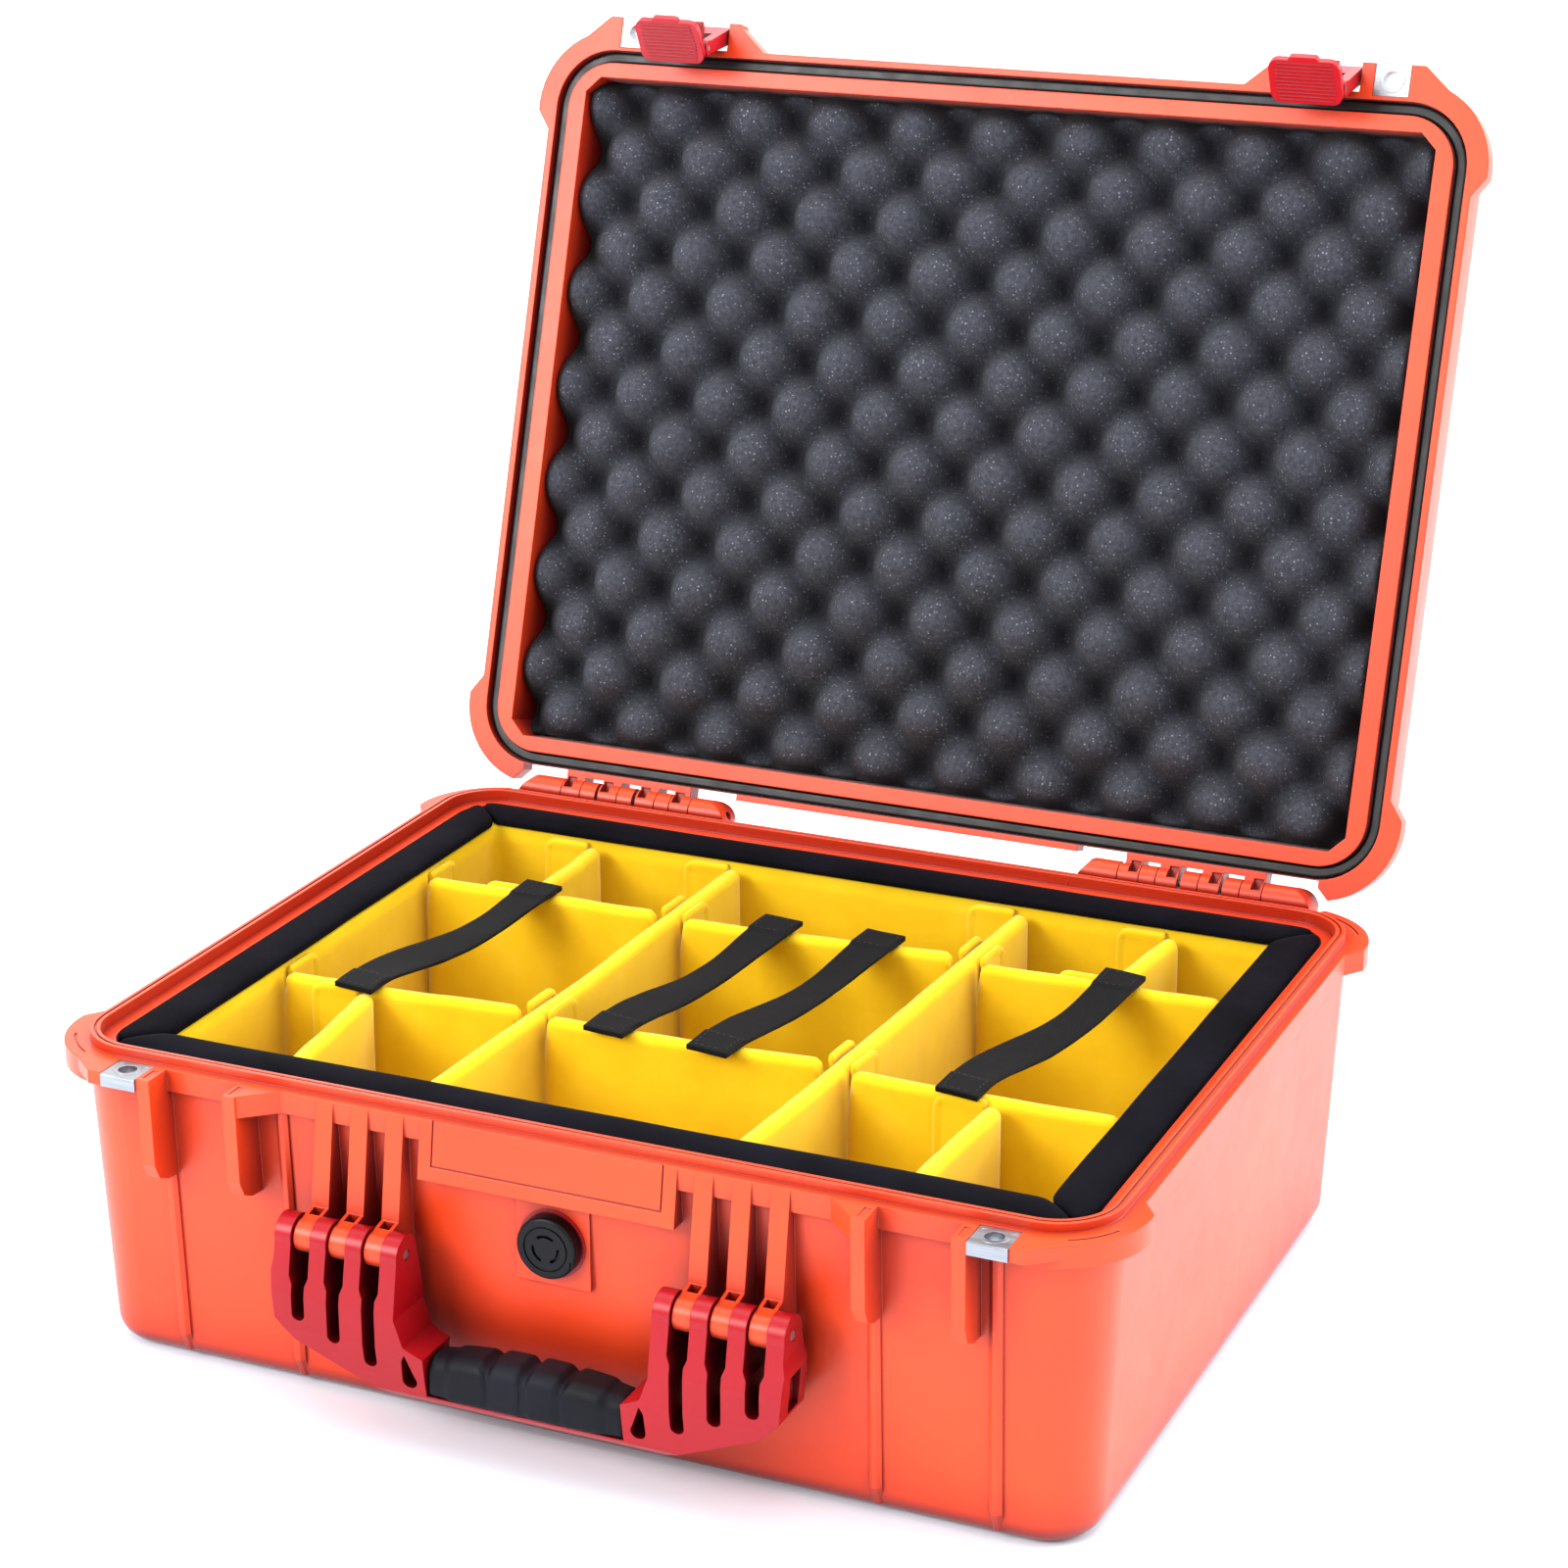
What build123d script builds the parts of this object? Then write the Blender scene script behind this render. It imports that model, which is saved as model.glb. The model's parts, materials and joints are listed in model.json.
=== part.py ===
"""Hard equipment case with a padded divider insert: moulded base and lid, two hinges, two latches,
a carry handle, padlock plates, a vent, a convoluted lid foam and twelve padded dividers.

Millimetres. +X to the case's right, +Y to the back (hinge side), +Z up, the front faces -Y.
The origin is the centre of the base's flat underside. The lid and everything on it are drawn
closed and then turned open about the hinge line; the latches hang tucked over the lid's edge.
"""
from build123d import *
import math
import os

os.makedirs("parts", exist_ok=True)

# ---------------------------------------------------------------- driving dimensions
PART_Z = 150.0          # top of the base's flange
LID_GAP = 0.6           # gap between the two flanges when shut
LIP = 10.5              # depth of each flange
FL_X, FL_Y, FL_R = 252.5, 196.0, 34.8      # half sizes and corner radius of the flange
WALL_X, WALL_Y, WALL_R = 248.6, 192.6, 31.0    # half sizes of the wall just below the flange
DRAFT = 2.65            # draft of the walls, degrees
SEAL_X, SEAL_Y, SEAL_R = 245.5, 189.3, 28.0    # centre line of the sealing ridge and gasket
EAR_X, EAR_Y, EAR_R = 217.5, 161.3, 42.0   # corner ears: centre and radius
PLAT_Y = 210.5          # front of the latch and padlock platforms
GAP_IN, GAP_OUT = 152.8, 190.5             # latch bay between the guard ribs
RIB_W = 6.4
LOCK_X, LOCK_Y, LOCK_R = 206.4, 202.7, 4.25    # padlock hole
PLATE_T, PLATE_DROP = 1.0, 1.2             # padlock plates: thickness, depth of their pockets
LID_TOP = 203.0
HINGE_Y, HINGE_Z, HINGE_R = 204.7, 151.6, 7.0
HINGE_PIN_R = 2.0
LID_OPEN = 107.5        # degrees the lid is open at rest
BAIL_Y, BAIL_Z = -212.5, 92.0              # handle pivot
BAIL_R, BAIL_PIN_R = 7.5, 2.5
KNUCKLES = (74.0, 91.6, 109.2)             # centres of the handle's three knuckles, each side
KNUCKLE_W = 8.6
FINGERS = (65.2, 82.8, 100.4, 118.1)       # centres of the handle's four fingers, each side
FINGER_W = 8.0
LATCH_X = (GAP_IN + GAP_OUT) / 2
LP1 = (-205.0, 156.0)   # latch pivot on the lid, closed
LINK_L = 28.5
LINK_TUCK = 23.0        # degrees the link is tucked in over the lid's edge at rest
LEVER_OPEN = 111.3      # degrees the lever is thrown open at rest
VENT_Z = 101.0
CAV_X, CAV_Y = 237.0, 180.8                # base cavity at its top
RIM_X, RIM_Y, RIM_IN_X, RIM_IN_Y = 236.2, 180.0, 213.5, 158.5
RIM_Z0, RIM_Z1 = 139.5, 149.5
DIV_Z0, DIV_Z1, DIV_T = 16.4, 143.0, 10.0

HINGE_AXIS = Axis((0, HINGE_Y, HINGE_Z), (1, 0, 0))


def out(builder, name):
    """Label a finished piece and write it to its own file."""
    builder.part.label = name
    export_step(builder.part, f"parts/{name}.step")


def open_lid(builder):
    """Turn a piece drawn in the closed position to the open rest position."""
    builder.part = builder.part.rotate(HINGE_AXIS, -LID_OPEN)


def wall_y(z):
    """Distance of the drafted front wall from the centre plane at height z."""
    return WALL_Y - (PART_Z - LIP - z) * math.tan(math.radians(DRAFT))


def ear_sketch():
    """Four corner ears with chamfered ends; drawn inside a sketch."""
    for sx in (-1, 1):
        for sy in (-1, 1):
            with Locations((sx * EAR_X, sy * EAR_Y)):
                Circle(EAR_R)
    for sx in (-1, 1):
        for sy in (-1, 1):
            side = (
                (sx * 261, sy * 160.5),
                (sx * FL_X, sy * 148.5),
                (sx * FL_X, sy * 110),
                (sx * 280, sy * 110),
            )
            Polygon(*side, align=None, mode=Mode.SUBTRACT)
        back = ((sx * 229.5, 204), (sx * 221.5, FL_Y), (sx * 160, FL_Y), (sx * 160, 215))
        Polygon(*back, align=None, mode=Mode.SUBTRACT)


def platform_points(sx):
    """Plan of the padlock platform with its slanted outer end."""
    return (
        (sx * GAP_OUT, -180),
        (sx * GAP_OUT, -PLAT_Y),
        (sx * 222.4, -PLAT_Y),
        (sx * 238.5, -196.5),
        (sx * 238.5, -180),
    )


def web_points(sx):
    """Plan of the slanted web beside the inner guard rib."""
    return (
        (sx * GAP_IN, -185),
        (sx * GAP_IN, -PLAT_Y),
        (sx * (GAP_IN - RIB_W), -PLAT_Y + 1.5),
        (sx * 131.5, -FL_Y),
        (sx * 131.5, -185),
    )


def rib_profile(z_top):
    """Side view of a guard rib that runs down the base wall and ends in a rounded toe."""
    profile = (
        (-185, z_top),
        (-PLAT_Y, z_top),
        (-PLAT_Y + 1.2, 108),
        (-PLAT_Y + 4.6, 101),
        (-PLAT_Y + 11, 98),
        (-185, 96.5),
    )
    Polygon(*profile, align=None)


def bead_profile():
    """Side view of a bead: down the drafted wall and round the bottom edge."""
    profile = (
        (-wall_y(141) - 2.6, 141),
        (-wall_y(14) - 2.6, 14),
        (-wall_y(6) + 1, 4.6),
        (-wall_y(0) + 8.5, 0.6),
        (-wall_y(0) + 30, 0.6),
        (-wall_y(0) + 30, 20),
        (-150, 141),
    )
    Polygon(*profile, align=None)


# ---------------------------------------------------------------- base shell
with BuildPart() as base_shell:
    with BuildSketch(Plane.XY.offset(PART_Z - LIP)):
        RectangleRounded(2 * WALL_X, 2 * WALL_Y, WALL_R)
    extrude(amount=-(PART_Z - LIP), taper=DRAFT)
    fillet(base_shell.edges().group_by(Axis.Z)[0], 12)
    # flange with its ears
    with BuildSketch(Plane.XY.offset(PART_Z - LIP)):
        RectangleRounded(2 * FL_X, 2 * FL_Y, FL_R)
    extrude(amount=LIP)
    with BuildSketch(Plane.XY.offset(PART_Z - LIP)):
        ear_sketch()
    extrude(amount=LIP)
    # padlock platforms and slanted webs
    with BuildSketch(Plane.XY.offset(PART_Z - 6.4)):
        for sx in (-1, 1):
            with BuildLine():
                Polyline(*platform_points(sx), close=True)
            make_face()
    extrude(amount=6.4)
    with BuildSketch(Plane.XY.offset(PART_Z - LIP)):
        for sx in (-1, 1):
            with BuildLine():
                Polyline(*web_points(sx), close=True)
            make_face()
    extrude(amount=LIP)
    # guard ribs each side of both latch bays
    for x in (GAP_OUT + RIB_W / 2, GAP_IN - RIB_W / 2, -GAP_OUT - RIB_W / 2, -GAP_IN + RIB_W / 2):
        with BuildSketch(Plane.YZ.offset(x)):
            rib_profile(PART_Z)
        extrude(amount=RIB_W / 2, both=True)
    # beads that run down the front and turn under the bottom edge, with slanted flanks
    for x in (-194, -133, 149.5, 204):
        with BuildSketch(Plane.YZ.offset(x)):
            bead_profile()
        extrude(amount=1.1, both=True)
        for s in (-1, 1):
            with BuildSketch(Plane.YZ.offset(x + s * 1.1)):
                bead_profile()
            extrude(amount=s * 1.9, taper=38)
    # name panel and handle ribs: their face leans out towards the bottom
    with BuildSketch(Plane.YZ):
        with BuildLine():
            Polyline((-185, PART_Z), (-FL_Y, PART_Z), (-200.2, 122.7), (-185, 122.7), close=True)
        make_face()
    extrude(amount=61.6, both=True)
    for sx in (-1, 1):
        for k in KNUCKLES:
            with BuildSketch(Plane.YZ.offset(sx * k)):
                with BuildLine():
                    Polyline(
                        (-180, PART_Z),
                        (-FL_Y, PART_Z),
                        (-203.6, 101.5),
                        (BAIL_Y, BAIL_Z + BAIL_R),
                        (BAIL_Y, BAIL_Z - BAIL_R),
                        (-198, BAIL_Z - BAIL_R + 1.5),
                        (-180, BAIL_Z - 3),
                        close=True,
                    )
                make_face()
                with Locations((BAIL_Y, BAIL_Z)):
                    Circle(BAIL_R)
            extrude(amount=KNUCKLE_W / 2, both=True)
    with BuildSketch(Plane.XY.offset(PART_Z - LIP)):
        with Locations((0, -FL_Y + 8)):
            Rectangle(228, 16)
    extrude(amount=LIP)
    # raised pad behind the vent
    with Locations((0, -wall_y(VENT_Z) + 4, VENT_Z + 2)):
        Box(36, 11.6, 44)
    # hinge knuckles: two long outer ones and three between the lid's
    for sx in (-1, 1):
        for x0, x1 in ((97.8, 119.6), (131.4, 139.8), (153.2, 162.0), (175.0, 183.8), (195.6, 221.6)):
            with BuildSketch(Plane.YZ.offset(sx * x0)):
                with Locations((HINGE_Y, HINGE_Z)):
                    Circle(HINGE_R)
                with BuildLine():
                    Polyline(
                        (190, PART_Z - LIP),
                        (HINGE_Y - 1, PART_Z - LIP),
                        (HINGE_Y + HINGE_R - 1.0, HINGE_Z - 3.6),
                        (HINGE_Y, HINGE_Z),
                        (195.5, PART_Z),
                        (190, PART_Z),
                        close=True,
                    )
                make_face()
            extrude(amount=sx * (x1 - x0))
    # rounded outer ends of the long knuckles
    for sx in (-1, 1):
        for x, s in ((97.8, -1), (221.6, 1)):
            with BuildSketch(Plane.XZ.offset(-HINGE_Y - 12)):
                with BuildLine():
                    l1 = Line((sx * x, HINGE_Z - 3), (sx * x, HINGE_Z + 12))
                    l2 = Line(l1 @ 1, (sx * (x - s * 13), HINGE_Z + 12))
                    l3 = Line(l2 @ 1, (sx * (x - s * 13), HINGE_Z + HINGE_R))
                    Spline(
                        l3 @ 1,
                        (sx * (x - s * 5), HINGE_Z + 4.6),
                        l1 @ 0,
                    )
                make_face()
            extrude(amount=30, mode=Mode.SUBTRACT)
    # sealing ridge
    with BuildSketch(Plane.XY.offset(PART_Z)):
        RectangleRounded(2 * SEAL_X + 4.6, 2 * SEAL_Y + 4.6, SEAL_R + 2.3)
    extrude(amount=4.0)
    with BuildSketch(Plane.XY.offset(PART_Z - 2)):
        RectangleRounded(2 * SEAL_X - 4.6, 2 * SEAL_Y - 4.6, SEAL_R - 2.3)
    extrude(amount=10, mode=Mode.SUBTRACT)
    with BuildSketch(Plane.XY.offset(PART_Z + 3.2)):
        RectangleRounded(2 * SEAL_X + 1.2, 2 * SEAL_Y + 1.2, SEAL_R + 0.6)
        RectangleRounded(2 * SEAL_X - 1.2, 2 * SEAL_Y - 1.2, SEAL_R - 0.6, mode=Mode.SUBTRACT)
    extrude(amount=2, mode=Mode.SUBTRACT)
    # cavity
    with BuildSketch(Plane.XY.offset(PART_Z)):
        RectangleRounded(2 * CAV_X, 2 * CAV_Y, 21)
    extrude(amount=-(PART_Z - 6), taper=1.3, mode=Mode.SUBTRACT)
    # engraved arcs on the ears, name-plate outline and pads on the guard ribs
    with BuildSketch(Plane.XY.offset(PART_Z - 0.6)):
        for sx in (-1, 1):
            for sy in (-1, 1):
                with Locations((sx * EAR_X, sy * EAR_Y)):
                    Circle(EAR_R - 4.4)
                    Circle(EAR_R - 5.6, mode=Mode.SUBTRACT)
        Rectangle(2 * FL_X - 36, 600, mode=Mode.SUBTRACT)
        Rectangle(800, 2 * SEAL_Y - 24, mode=Mode.SUBTRACT)
    extrude(amount=2, mode=Mode.SUBTRACT)
    for x in (GAP_OUT + RIB_W / 2, GAP_IN - RIB_W / 2, -GAP_OUT - RIB_W / 2, -GAP_IN + RIB_W / 2):
        with Locations((x, -203.5, PART_Z)):
            Box(3.0, 9.0, 1.0, mode=Mode.SUBTRACT)
    with BuildSketch(Plane(origin=(0, -200.2, 122.7), x_dir=(1, 0, 0), z_dir=(0, -27.3, 4.2))):
        with Locations((0, 17.4)):
            Rectangle(111, 21.6)
            Rectangle(109.4, 20.0, mode=Mode.SUBTRACT)
    extrude(amount=0.7, both=True, mode=Mode.SUBTRACT)
    # open pockets in the tops of the handle knuckles
    for sx in (-1, 1):
        for k in KNUCKLES:
            with Locations((sx * k, -206.4, BAIL_Z + 8.2)):
                Box(5.2, 5.2, 9.0, mode=Mode.SUBTRACT)
    # bores: handle pins, hinge pins, padlock holes, vent
    with BuildSketch(Plane.YZ.offset(-130)):
        with Locations((BAIL_Y, BAIL_Z)):
            Circle(BAIL_PIN_R + 0.06)
    extrude(amount=260, mode=Mode.SUBTRACT)
    with BuildSketch(Plane.YZ.offset(-217)):
        with Locations((HINGE_Y, HINGE_Z)):
            Circle(HINGE_PIN_R + 0.05)
    extrude(amount=434, mode=Mode.SUBTRACT)
    with BuildSketch(Plane.XY.offset(PART_Z - 12)):
        with Locations((LOCK_X, -LOCK_Y), (-LOCK_X, -LOCK_Y)):
            Circle(LOCK_R + 1.4)
    extrude(amount=20, mode=Mode.SUBTRACT)
    for sx in (-1, 1):
        with Locations((sx * LOCK_X, -204.4, PART_Z)):
            Box(18.2, 20.0, 2 * PLATE_DROP, mode=Mode.SUBTRACT)
    with BuildSketch(Plane.XZ.offset(160)):
        with Locations((0, VENT_Z)):
            Circle(8.2)
    extrude(amount=60, mode=Mode.SUBTRACT)
    with BuildSketch(Plane.XZ.offset(150)):
        with Locations((0, VENT_Z)):
            Circle(13.5)
    extrude(amount=35.5, mode=Mode.SUBTRACT)
out(base_shell, "base_shell")


# ---------------------------------------------------------------- lid shell, drawn closed
LZ = PART_Z + LID_GAP
with BuildPart() as lid_shell:
    with BuildSketch(Plane.XY.offset(LZ + LIP)):
        RectangleRounded(2 * WALL_X, 2 * WALL_Y, WALL_R)
    extrude(amount=LID_TOP - LZ - LIP, taper=DRAFT)
    fillet(lid_shell.edges().group_by(Axis.Z)[-1], 11)
    with BuildSketch(Plane.XY.offset(LZ)):
        RectangleRounded(2 * FL_X, 2 * FL_Y, FL_R)
    extrude(amount=LIP)
    with BuildSketch(Plane.XY.offset(LZ)):
        ear_sketch()
    extrude(amount=LIP)
    with BuildSketch(Plane.XY.offset(LZ)):
        for sx in (-1, 1):
            with BuildLine():
                Polyline(*platform_points(sx), close=True)
            make_face()
    extrude(amount=6.4)
    # slanted webs beside the inner lugs
    with BuildSketch(Plane.XY.offset(LZ)):
        for sx in (-1, 1):
            with BuildLine():
                Polyline(*web_points(sx), close=True)
            make_face()
    extrude(amount=LIP)
    # lugs that carry the latch pins
    for x in (GAP_OUT + RIB_W / 2, GAP_IN - RIB_W / 2, -GAP_OUT - RIB_W / 2, -GAP_IN + RIB_W / 2):
        with BuildSketch(Plane.YZ.offset(x)):
            with BuildLine():
                Polyline(
                    (-185, LZ),
                    (-PLAT_Y, LZ),
                    (-PLAT_Y, LZ + 9.5),
                    (-PLAT_Y + 5, LZ + 13.5),
                    (-192, LZ + 20),
                    (-185, LZ + 30),
                    close=True,
                )
            make_face()
        extrude(amount=RIB_W / 2, both=True)
    # stiffening ribs across the top
    for x in (-165, -55, 55, 165):
        with Locations((x, 0, LID_TOP)):
            Box(10, 330, 2.4)
    # hinge knuckles
    for sx in (-1, 1):
        for x0 in (120.0, 140.2, 162.4, 184.2):
            with BuildSketch(Plane.YZ.offset(sx * x0)):
                with Locations((HINGE_Y, HINGE_Z)):
                    Circle(HINGE_R)
                with BuildLine():
                    Polyline(
                        (190, LZ),
                        (HINGE_Y - 6.0, LZ),
                        (HINGE_Y, HINGE_Z - 3),
                        (HINGE_Y + 5.4, HINGE_Z + 4.4),
                        (HINGE_Y - 1, LZ + LIP),
                        (190, LZ + LIP),
                        close=True,
                    )
                make_face()
            extrude(amount=sx * 11.0)
        # clear of the base's long outer knuckles
        for x in (108.7, 208.6):
            with Locations((sx * x, FL_Y + 1, LZ + 5)):
                Box(26.5, 8.2, 13, mode=Mode.SUBTRACT)
    # windows that show the pin
    for sx in (-1, 1):
        for x0 in (120.0, 140.2, 162.4, 184.2):
            with Locations((sx * (x0 + 7.6), HINGE_Y - 5.6, HINGE_Z - 3.4)):
                Box(5.0, 5.4, 7.4, mode=Mode.SUBTRACT)
    # cavity with clipped corners
    with BuildSketch(Plane.XY.offset(LZ)):
        with BuildLine():
            Polyline(
                (-232.5, -170), (-224.5, -178), (224.5, -178), (232.5, -170),
                (232.5, 170), (224.5, 178), (-224.5, 178), (-232.5, 170), close=True,
            )
        make_face()
    extrude(amount=LID_TOP - LZ - 5.0, mode=Mode.SUBTRACT)
    # gasket groove
    with BuildSketch(Plane.XY.offset(LZ)):
        RectangleRounded(2 * SEAL_X + 6.8, 2 * SEAL_Y + 6.8, SEAL_R + 3.4)
        RectangleRounded(2 * SEAL_X - 6.8, 2 * SEAL_Y - 6.8, SEAL_R - 3.4, mode=Mode.SUBTRACT)
    extrude(amount=7.6, mode=Mode.SUBTRACT)
    # bores
    with BuildSketch(Plane.YZ.offset(-217)):
        with Locations((HINGE_Y, HINGE_Z)):
            Circle(HINGE_PIN_R + 0.05)
    extrude(amount=434, mode=Mode.SUBTRACT)
    for sx in (-1, 1):
        with BuildSketch(Plane.YZ.offset(sx * LATCH_X)):
            with Locations(LP1):
                Circle(2.05)
        extrude(amount=24.6, both=True, mode=Mode.SUBTRACT)
    with BuildSketch(Plane.XY.offset(LZ - 2)):
        with Locations((LOCK_X, -LOCK_Y), (-LOCK_X, -LOCK_Y)):
            Circle(LOCK_R + 1.4)
    extrude(amount=14, mode=Mode.SUBTRACT)
    for sx in (-1, 1):
        with Locations((sx * LOCK_X, -204.4, LZ)):
            Box(18.2, 20.0, 2 * PLATE_DROP, mode=Mode.SUBTRACT)
open_lid(lid_shell)
out(lid_shell, "lid_shell")

# gasket in the groove, with a rounded sealing face
with BuildPart() as lid_gasket:
    with BuildSketch(Plane.XY.offset(LZ + 4.0)):
        RectangleRounded(2 * SEAL_X + 5.8, 2 * SEAL_Y + 5.8, SEAL_R + 2.9)
        RectangleRounded(2 * SEAL_X - 5.8, 2 * SEAL_Y - 5.8, SEAL_R - 2.9, mode=Mode.SUBTRACT)
    extrude(amount=3.4)
    fillet(lid_gasket.edges().group_by(Axis.Z)[0], 1.6)
open_lid(lid_gasket)
out(lid_gasket, "lid_gasket")

# foam block behind the lid's opening: a flat back and staggered rounded peaks
FOAM_PX, FOAM_PY = 50.0, 25.4
FOAM_PLAN = (
    (-231.6, -169.4), (-224.0, -177.2), (224.0, -177.2), (231.6, -169.4),
    (231.6, 169.4), (224.0, 177.2), (-224.0, 177.2), (-231.6, 169.4),
)
with BuildPart() as lid_foam:
    with BuildSketch(Plane.XY.offset(LZ + 26)):
        Polygon(*FOAM_PLAN, align=None)
    extrude(amount=LID_TOP - LZ - 5.4 - 26)
    for row in range(14):
        y = -165.1 + row * FOAM_PY
        count = 9 if row % 2 == 0 else 10
        for i in range(count):
            x = (i - (count - 1) / 2) * FOAM_PX * 0.92
            with Locations((x, y, LZ + 26)):
                Cone(9.0, 17.0, 26.0, align=(Align.CENTER, Align.CENTER, Align.MAX))
    with BuildSketch(Plane.XY.offset(LZ - 1)):
        Rectangle(500, 400)
        Polygon(*FOAM_PLAN, align=None, mode=Mode.SUBTRACT)
    extrude(amount=60, mode=Mode.SUBTRACT)
open_lid(lid_foam)
out(lid_foam, "lid_foam")


# ---------------------------------------------------------------- padlock plates
def plate_profile(z0, s):
    """Side view of a plate folded over the platform's front edge; s is +1 above it, -1 below it."""
    y = -PLAT_Y
    profile = (
        (-194.6, z0),
        (y, z0),
        (y, z0 - s * 5.0),
        (y - PLATE_T, z0 - s * 5.0),
        (y - PLATE_T, z0 + s * 0.4),
        (y - PLATE_T + 0.6, z0 + s * PLATE_T),
        (-194.6, z0 + s * PLATE_T),
    )
    Polygon(*profile, align=None)


for part_name, sx, z0, s in (
    ("plate_base_left", -1, PART_Z, 1),
    ("plate_base_right", 1, PART_Z, 1),
    ("plate_lid_left", -1, LZ, -1),
    ("plate_lid_right", 1, LZ, -1),
):
    zs = z0 - s * PLATE_DROP
    with BuildPart() as plate:
        with BuildSketch(Plane.YZ.offset(sx * LOCK_X)):
            plate_profile(zs, s)
        extrude(amount=8.9, both=True)
        # raised rim and collar of the hole
        with BuildSketch(Plane.XY.offset(zs)):
            with Locations((sx * LOCK_X, -LOCK_Y)):
                Circle(LOCK_R + 1.9)
        extrude(amount=s * (PLATE_DROP - 0.02))
        with BuildSketch(Plane.XY.offset(zs + s * 0.3)):
            with Locations((sx * LOCK_X, -LOCK_Y)):
                Circle(LOCK_R + 1.25)
        extrude(amount=-s * 5.8)
        with BuildSketch(Plane.XY.offset(zs - s * 8)):
            with Locations((sx * LOCK_X, -LOCK_Y)):
                Circle(LOCK_R)
        extrude(amount=s * 16, mode=Mode.SUBTRACT)
        for dx in (-6.6, 6.6):
            with Locations((sx * LOCK_X + dx, -196.8, zs + s * (PLATE_T + 0.08))):
                Cylinder(1.1, 0.2)
    if s < 0:
        open_lid(plate)
    out(plate, part_name)

# ---------------------------------------------------------------- pins
for part_name, x0, x1, y, z, r in (
    ("hinge_pin_left", -216.0, -102.0, HINGE_Y, HINGE_Z, HINGE_PIN_R),
    ("hinge_pin_right", 102.0, 216.0, HINGE_Y, HINGE_Z, HINGE_PIN_R),
    ("handle_pin_left", -122.0, -61.4, BAIL_Y, BAIL_Z, BAIL_PIN_R),
    ("handle_pin_right", 61.4, 122.0, BAIL_Y, BAIL_Z, BAIL_PIN_R),
):
    with BuildPart() as pin:
        with BuildSketch(Plane.YZ.offset(x0)):
            with Locations((y, z)):
                Circle(r)
        extrude(amount=x1 - x0)
        chamfer(pin.edges().filter_by(GeomType.CIRCLE), 0.4)
    out(pin, part_name)

# ---------------------------------------------------------------- carry handle
with BuildPart() as handle:
    # front view: lower bar, slanted ends, shoulders and four fingers each side
    with BuildSketch(Plane.XZ.offset(235)):
        outline = [(0, 26.5), (66, 26.5), (112, 46.8), (121.4, 56), (123.2, 78), (122.1, 84), (122.1, 92)]
        outline += [(61.2, 92), (61.2, 66), (57.0, 54.0), (46.0, 49.0), (0, 49.0)]
        Polygon(*outline, align=None)
        Polygon(*[(-x, z) for x, z in outline], align=None)
    extrude(amount=-60)
    for sx in (-1, 1):
        for f in FINGERS:
            with BuildSketch(Plane.YZ.offset(sx * f)):
                with Locations((BAIL_Y, BAIL_Z)):
                    Circle(9.2)
            extrude(amount=FINGER_W / 2, both=True)
    # side view that every part of the handle keeps to
    with BuildSketch(Plane.YZ.offset(-130)):
        with Locations((BAIL_Y, BAIL_Z)):
            Circle(9.2)
        side = (
            (-221.6, BAIL_Z - 1),
            (-223.8, 80),
            (-226.0, 68),
            (-226.0, 52),
            (-224.0, 38),
            (-222.5, 30.0),
            (-219.0, 26.5),
            (-207.0, 26.5),
            (-203.5, 30.0),
            (-201.5, 44),
            (-199.6, 58),
            (-199.2, 70),
            (-201.2, 81),
            (-203.4, BAIL_Z - 1),
        )
        Polygon(*side, align=None)
    extrude(amount=260, mode=Mode.INTERSECT)
    # slots between the fingers, wide at the knuckles and narrower below the shoulders
    for sx in (-1, 1):
        for k, bottom in zip(KNUCKLES, (41.0, 49.0, 56.5)):
            with BuildSketch(Plane.XZ.offset(240)):
                neck = (
                    (sx * (k - 3.2), bottom + 3.2),
                    (sx * (k + 3.2), bottom + 3.2),
                    (sx * (k + 3.2), 73.0),
                    (sx * (k + 4.8), 77.0),
                    (sx * (k + 4.8), 104.0),
                    (sx * (k - 4.8), 104.0),
                    (sx * (k - 4.8), 77.0),
                    (sx * (k - 3.2), 73.0),
                )
                Polygon(*neck, align=None)
                with Locations((sx * k, bottom + 3.2)):
                    Circle(3.2)
            extrude(amount=-60, mode=Mode.SUBTRACT)
        # loop hole between the inner finger and the grip
        with BuildSketch(Plane.XZ.offset(240)):
            with Locations((sx * 55.2, 37.5)):
                Circle(3.6)
            loop = ((sx * 58.8, 37.5), (sx * 58.4, 47.0), (sx * 56.6, 50.6), (sx * 51.6, 37.5))
            Polygon(*loop, align=None)
        extrude(amount=-60, mode=Mode.SUBTRACT)
        # hollow in the outer face of each end
        with Locations((sx * 122.0, -211.5, 66.0)):
            Box(7.0, 11.0, 17.0, mode=Mode.SUBTRACT)
    # core under the grip
    for y in (-224, -200):
        with Locations((0, y, 41.6)):
            Box(95.4, 14.6, 21.2, mode=Mode.SUBTRACT)
    with Locations((0, -212.5, 50.0)):
        Box(95.4, 12, 12.0, mode=Mode.SUBTRACT)
    # bores for the handle pins
    with BuildSketch(Plane.YZ.offset(-130)):
        with Locations((BAIL_Y, BAIL_Z)):
            Circle(BAIL_PIN_R + 0.06)
    extrude(amount=260, mode=Mode.SUBTRACT)
out(handle, "handle")

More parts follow.
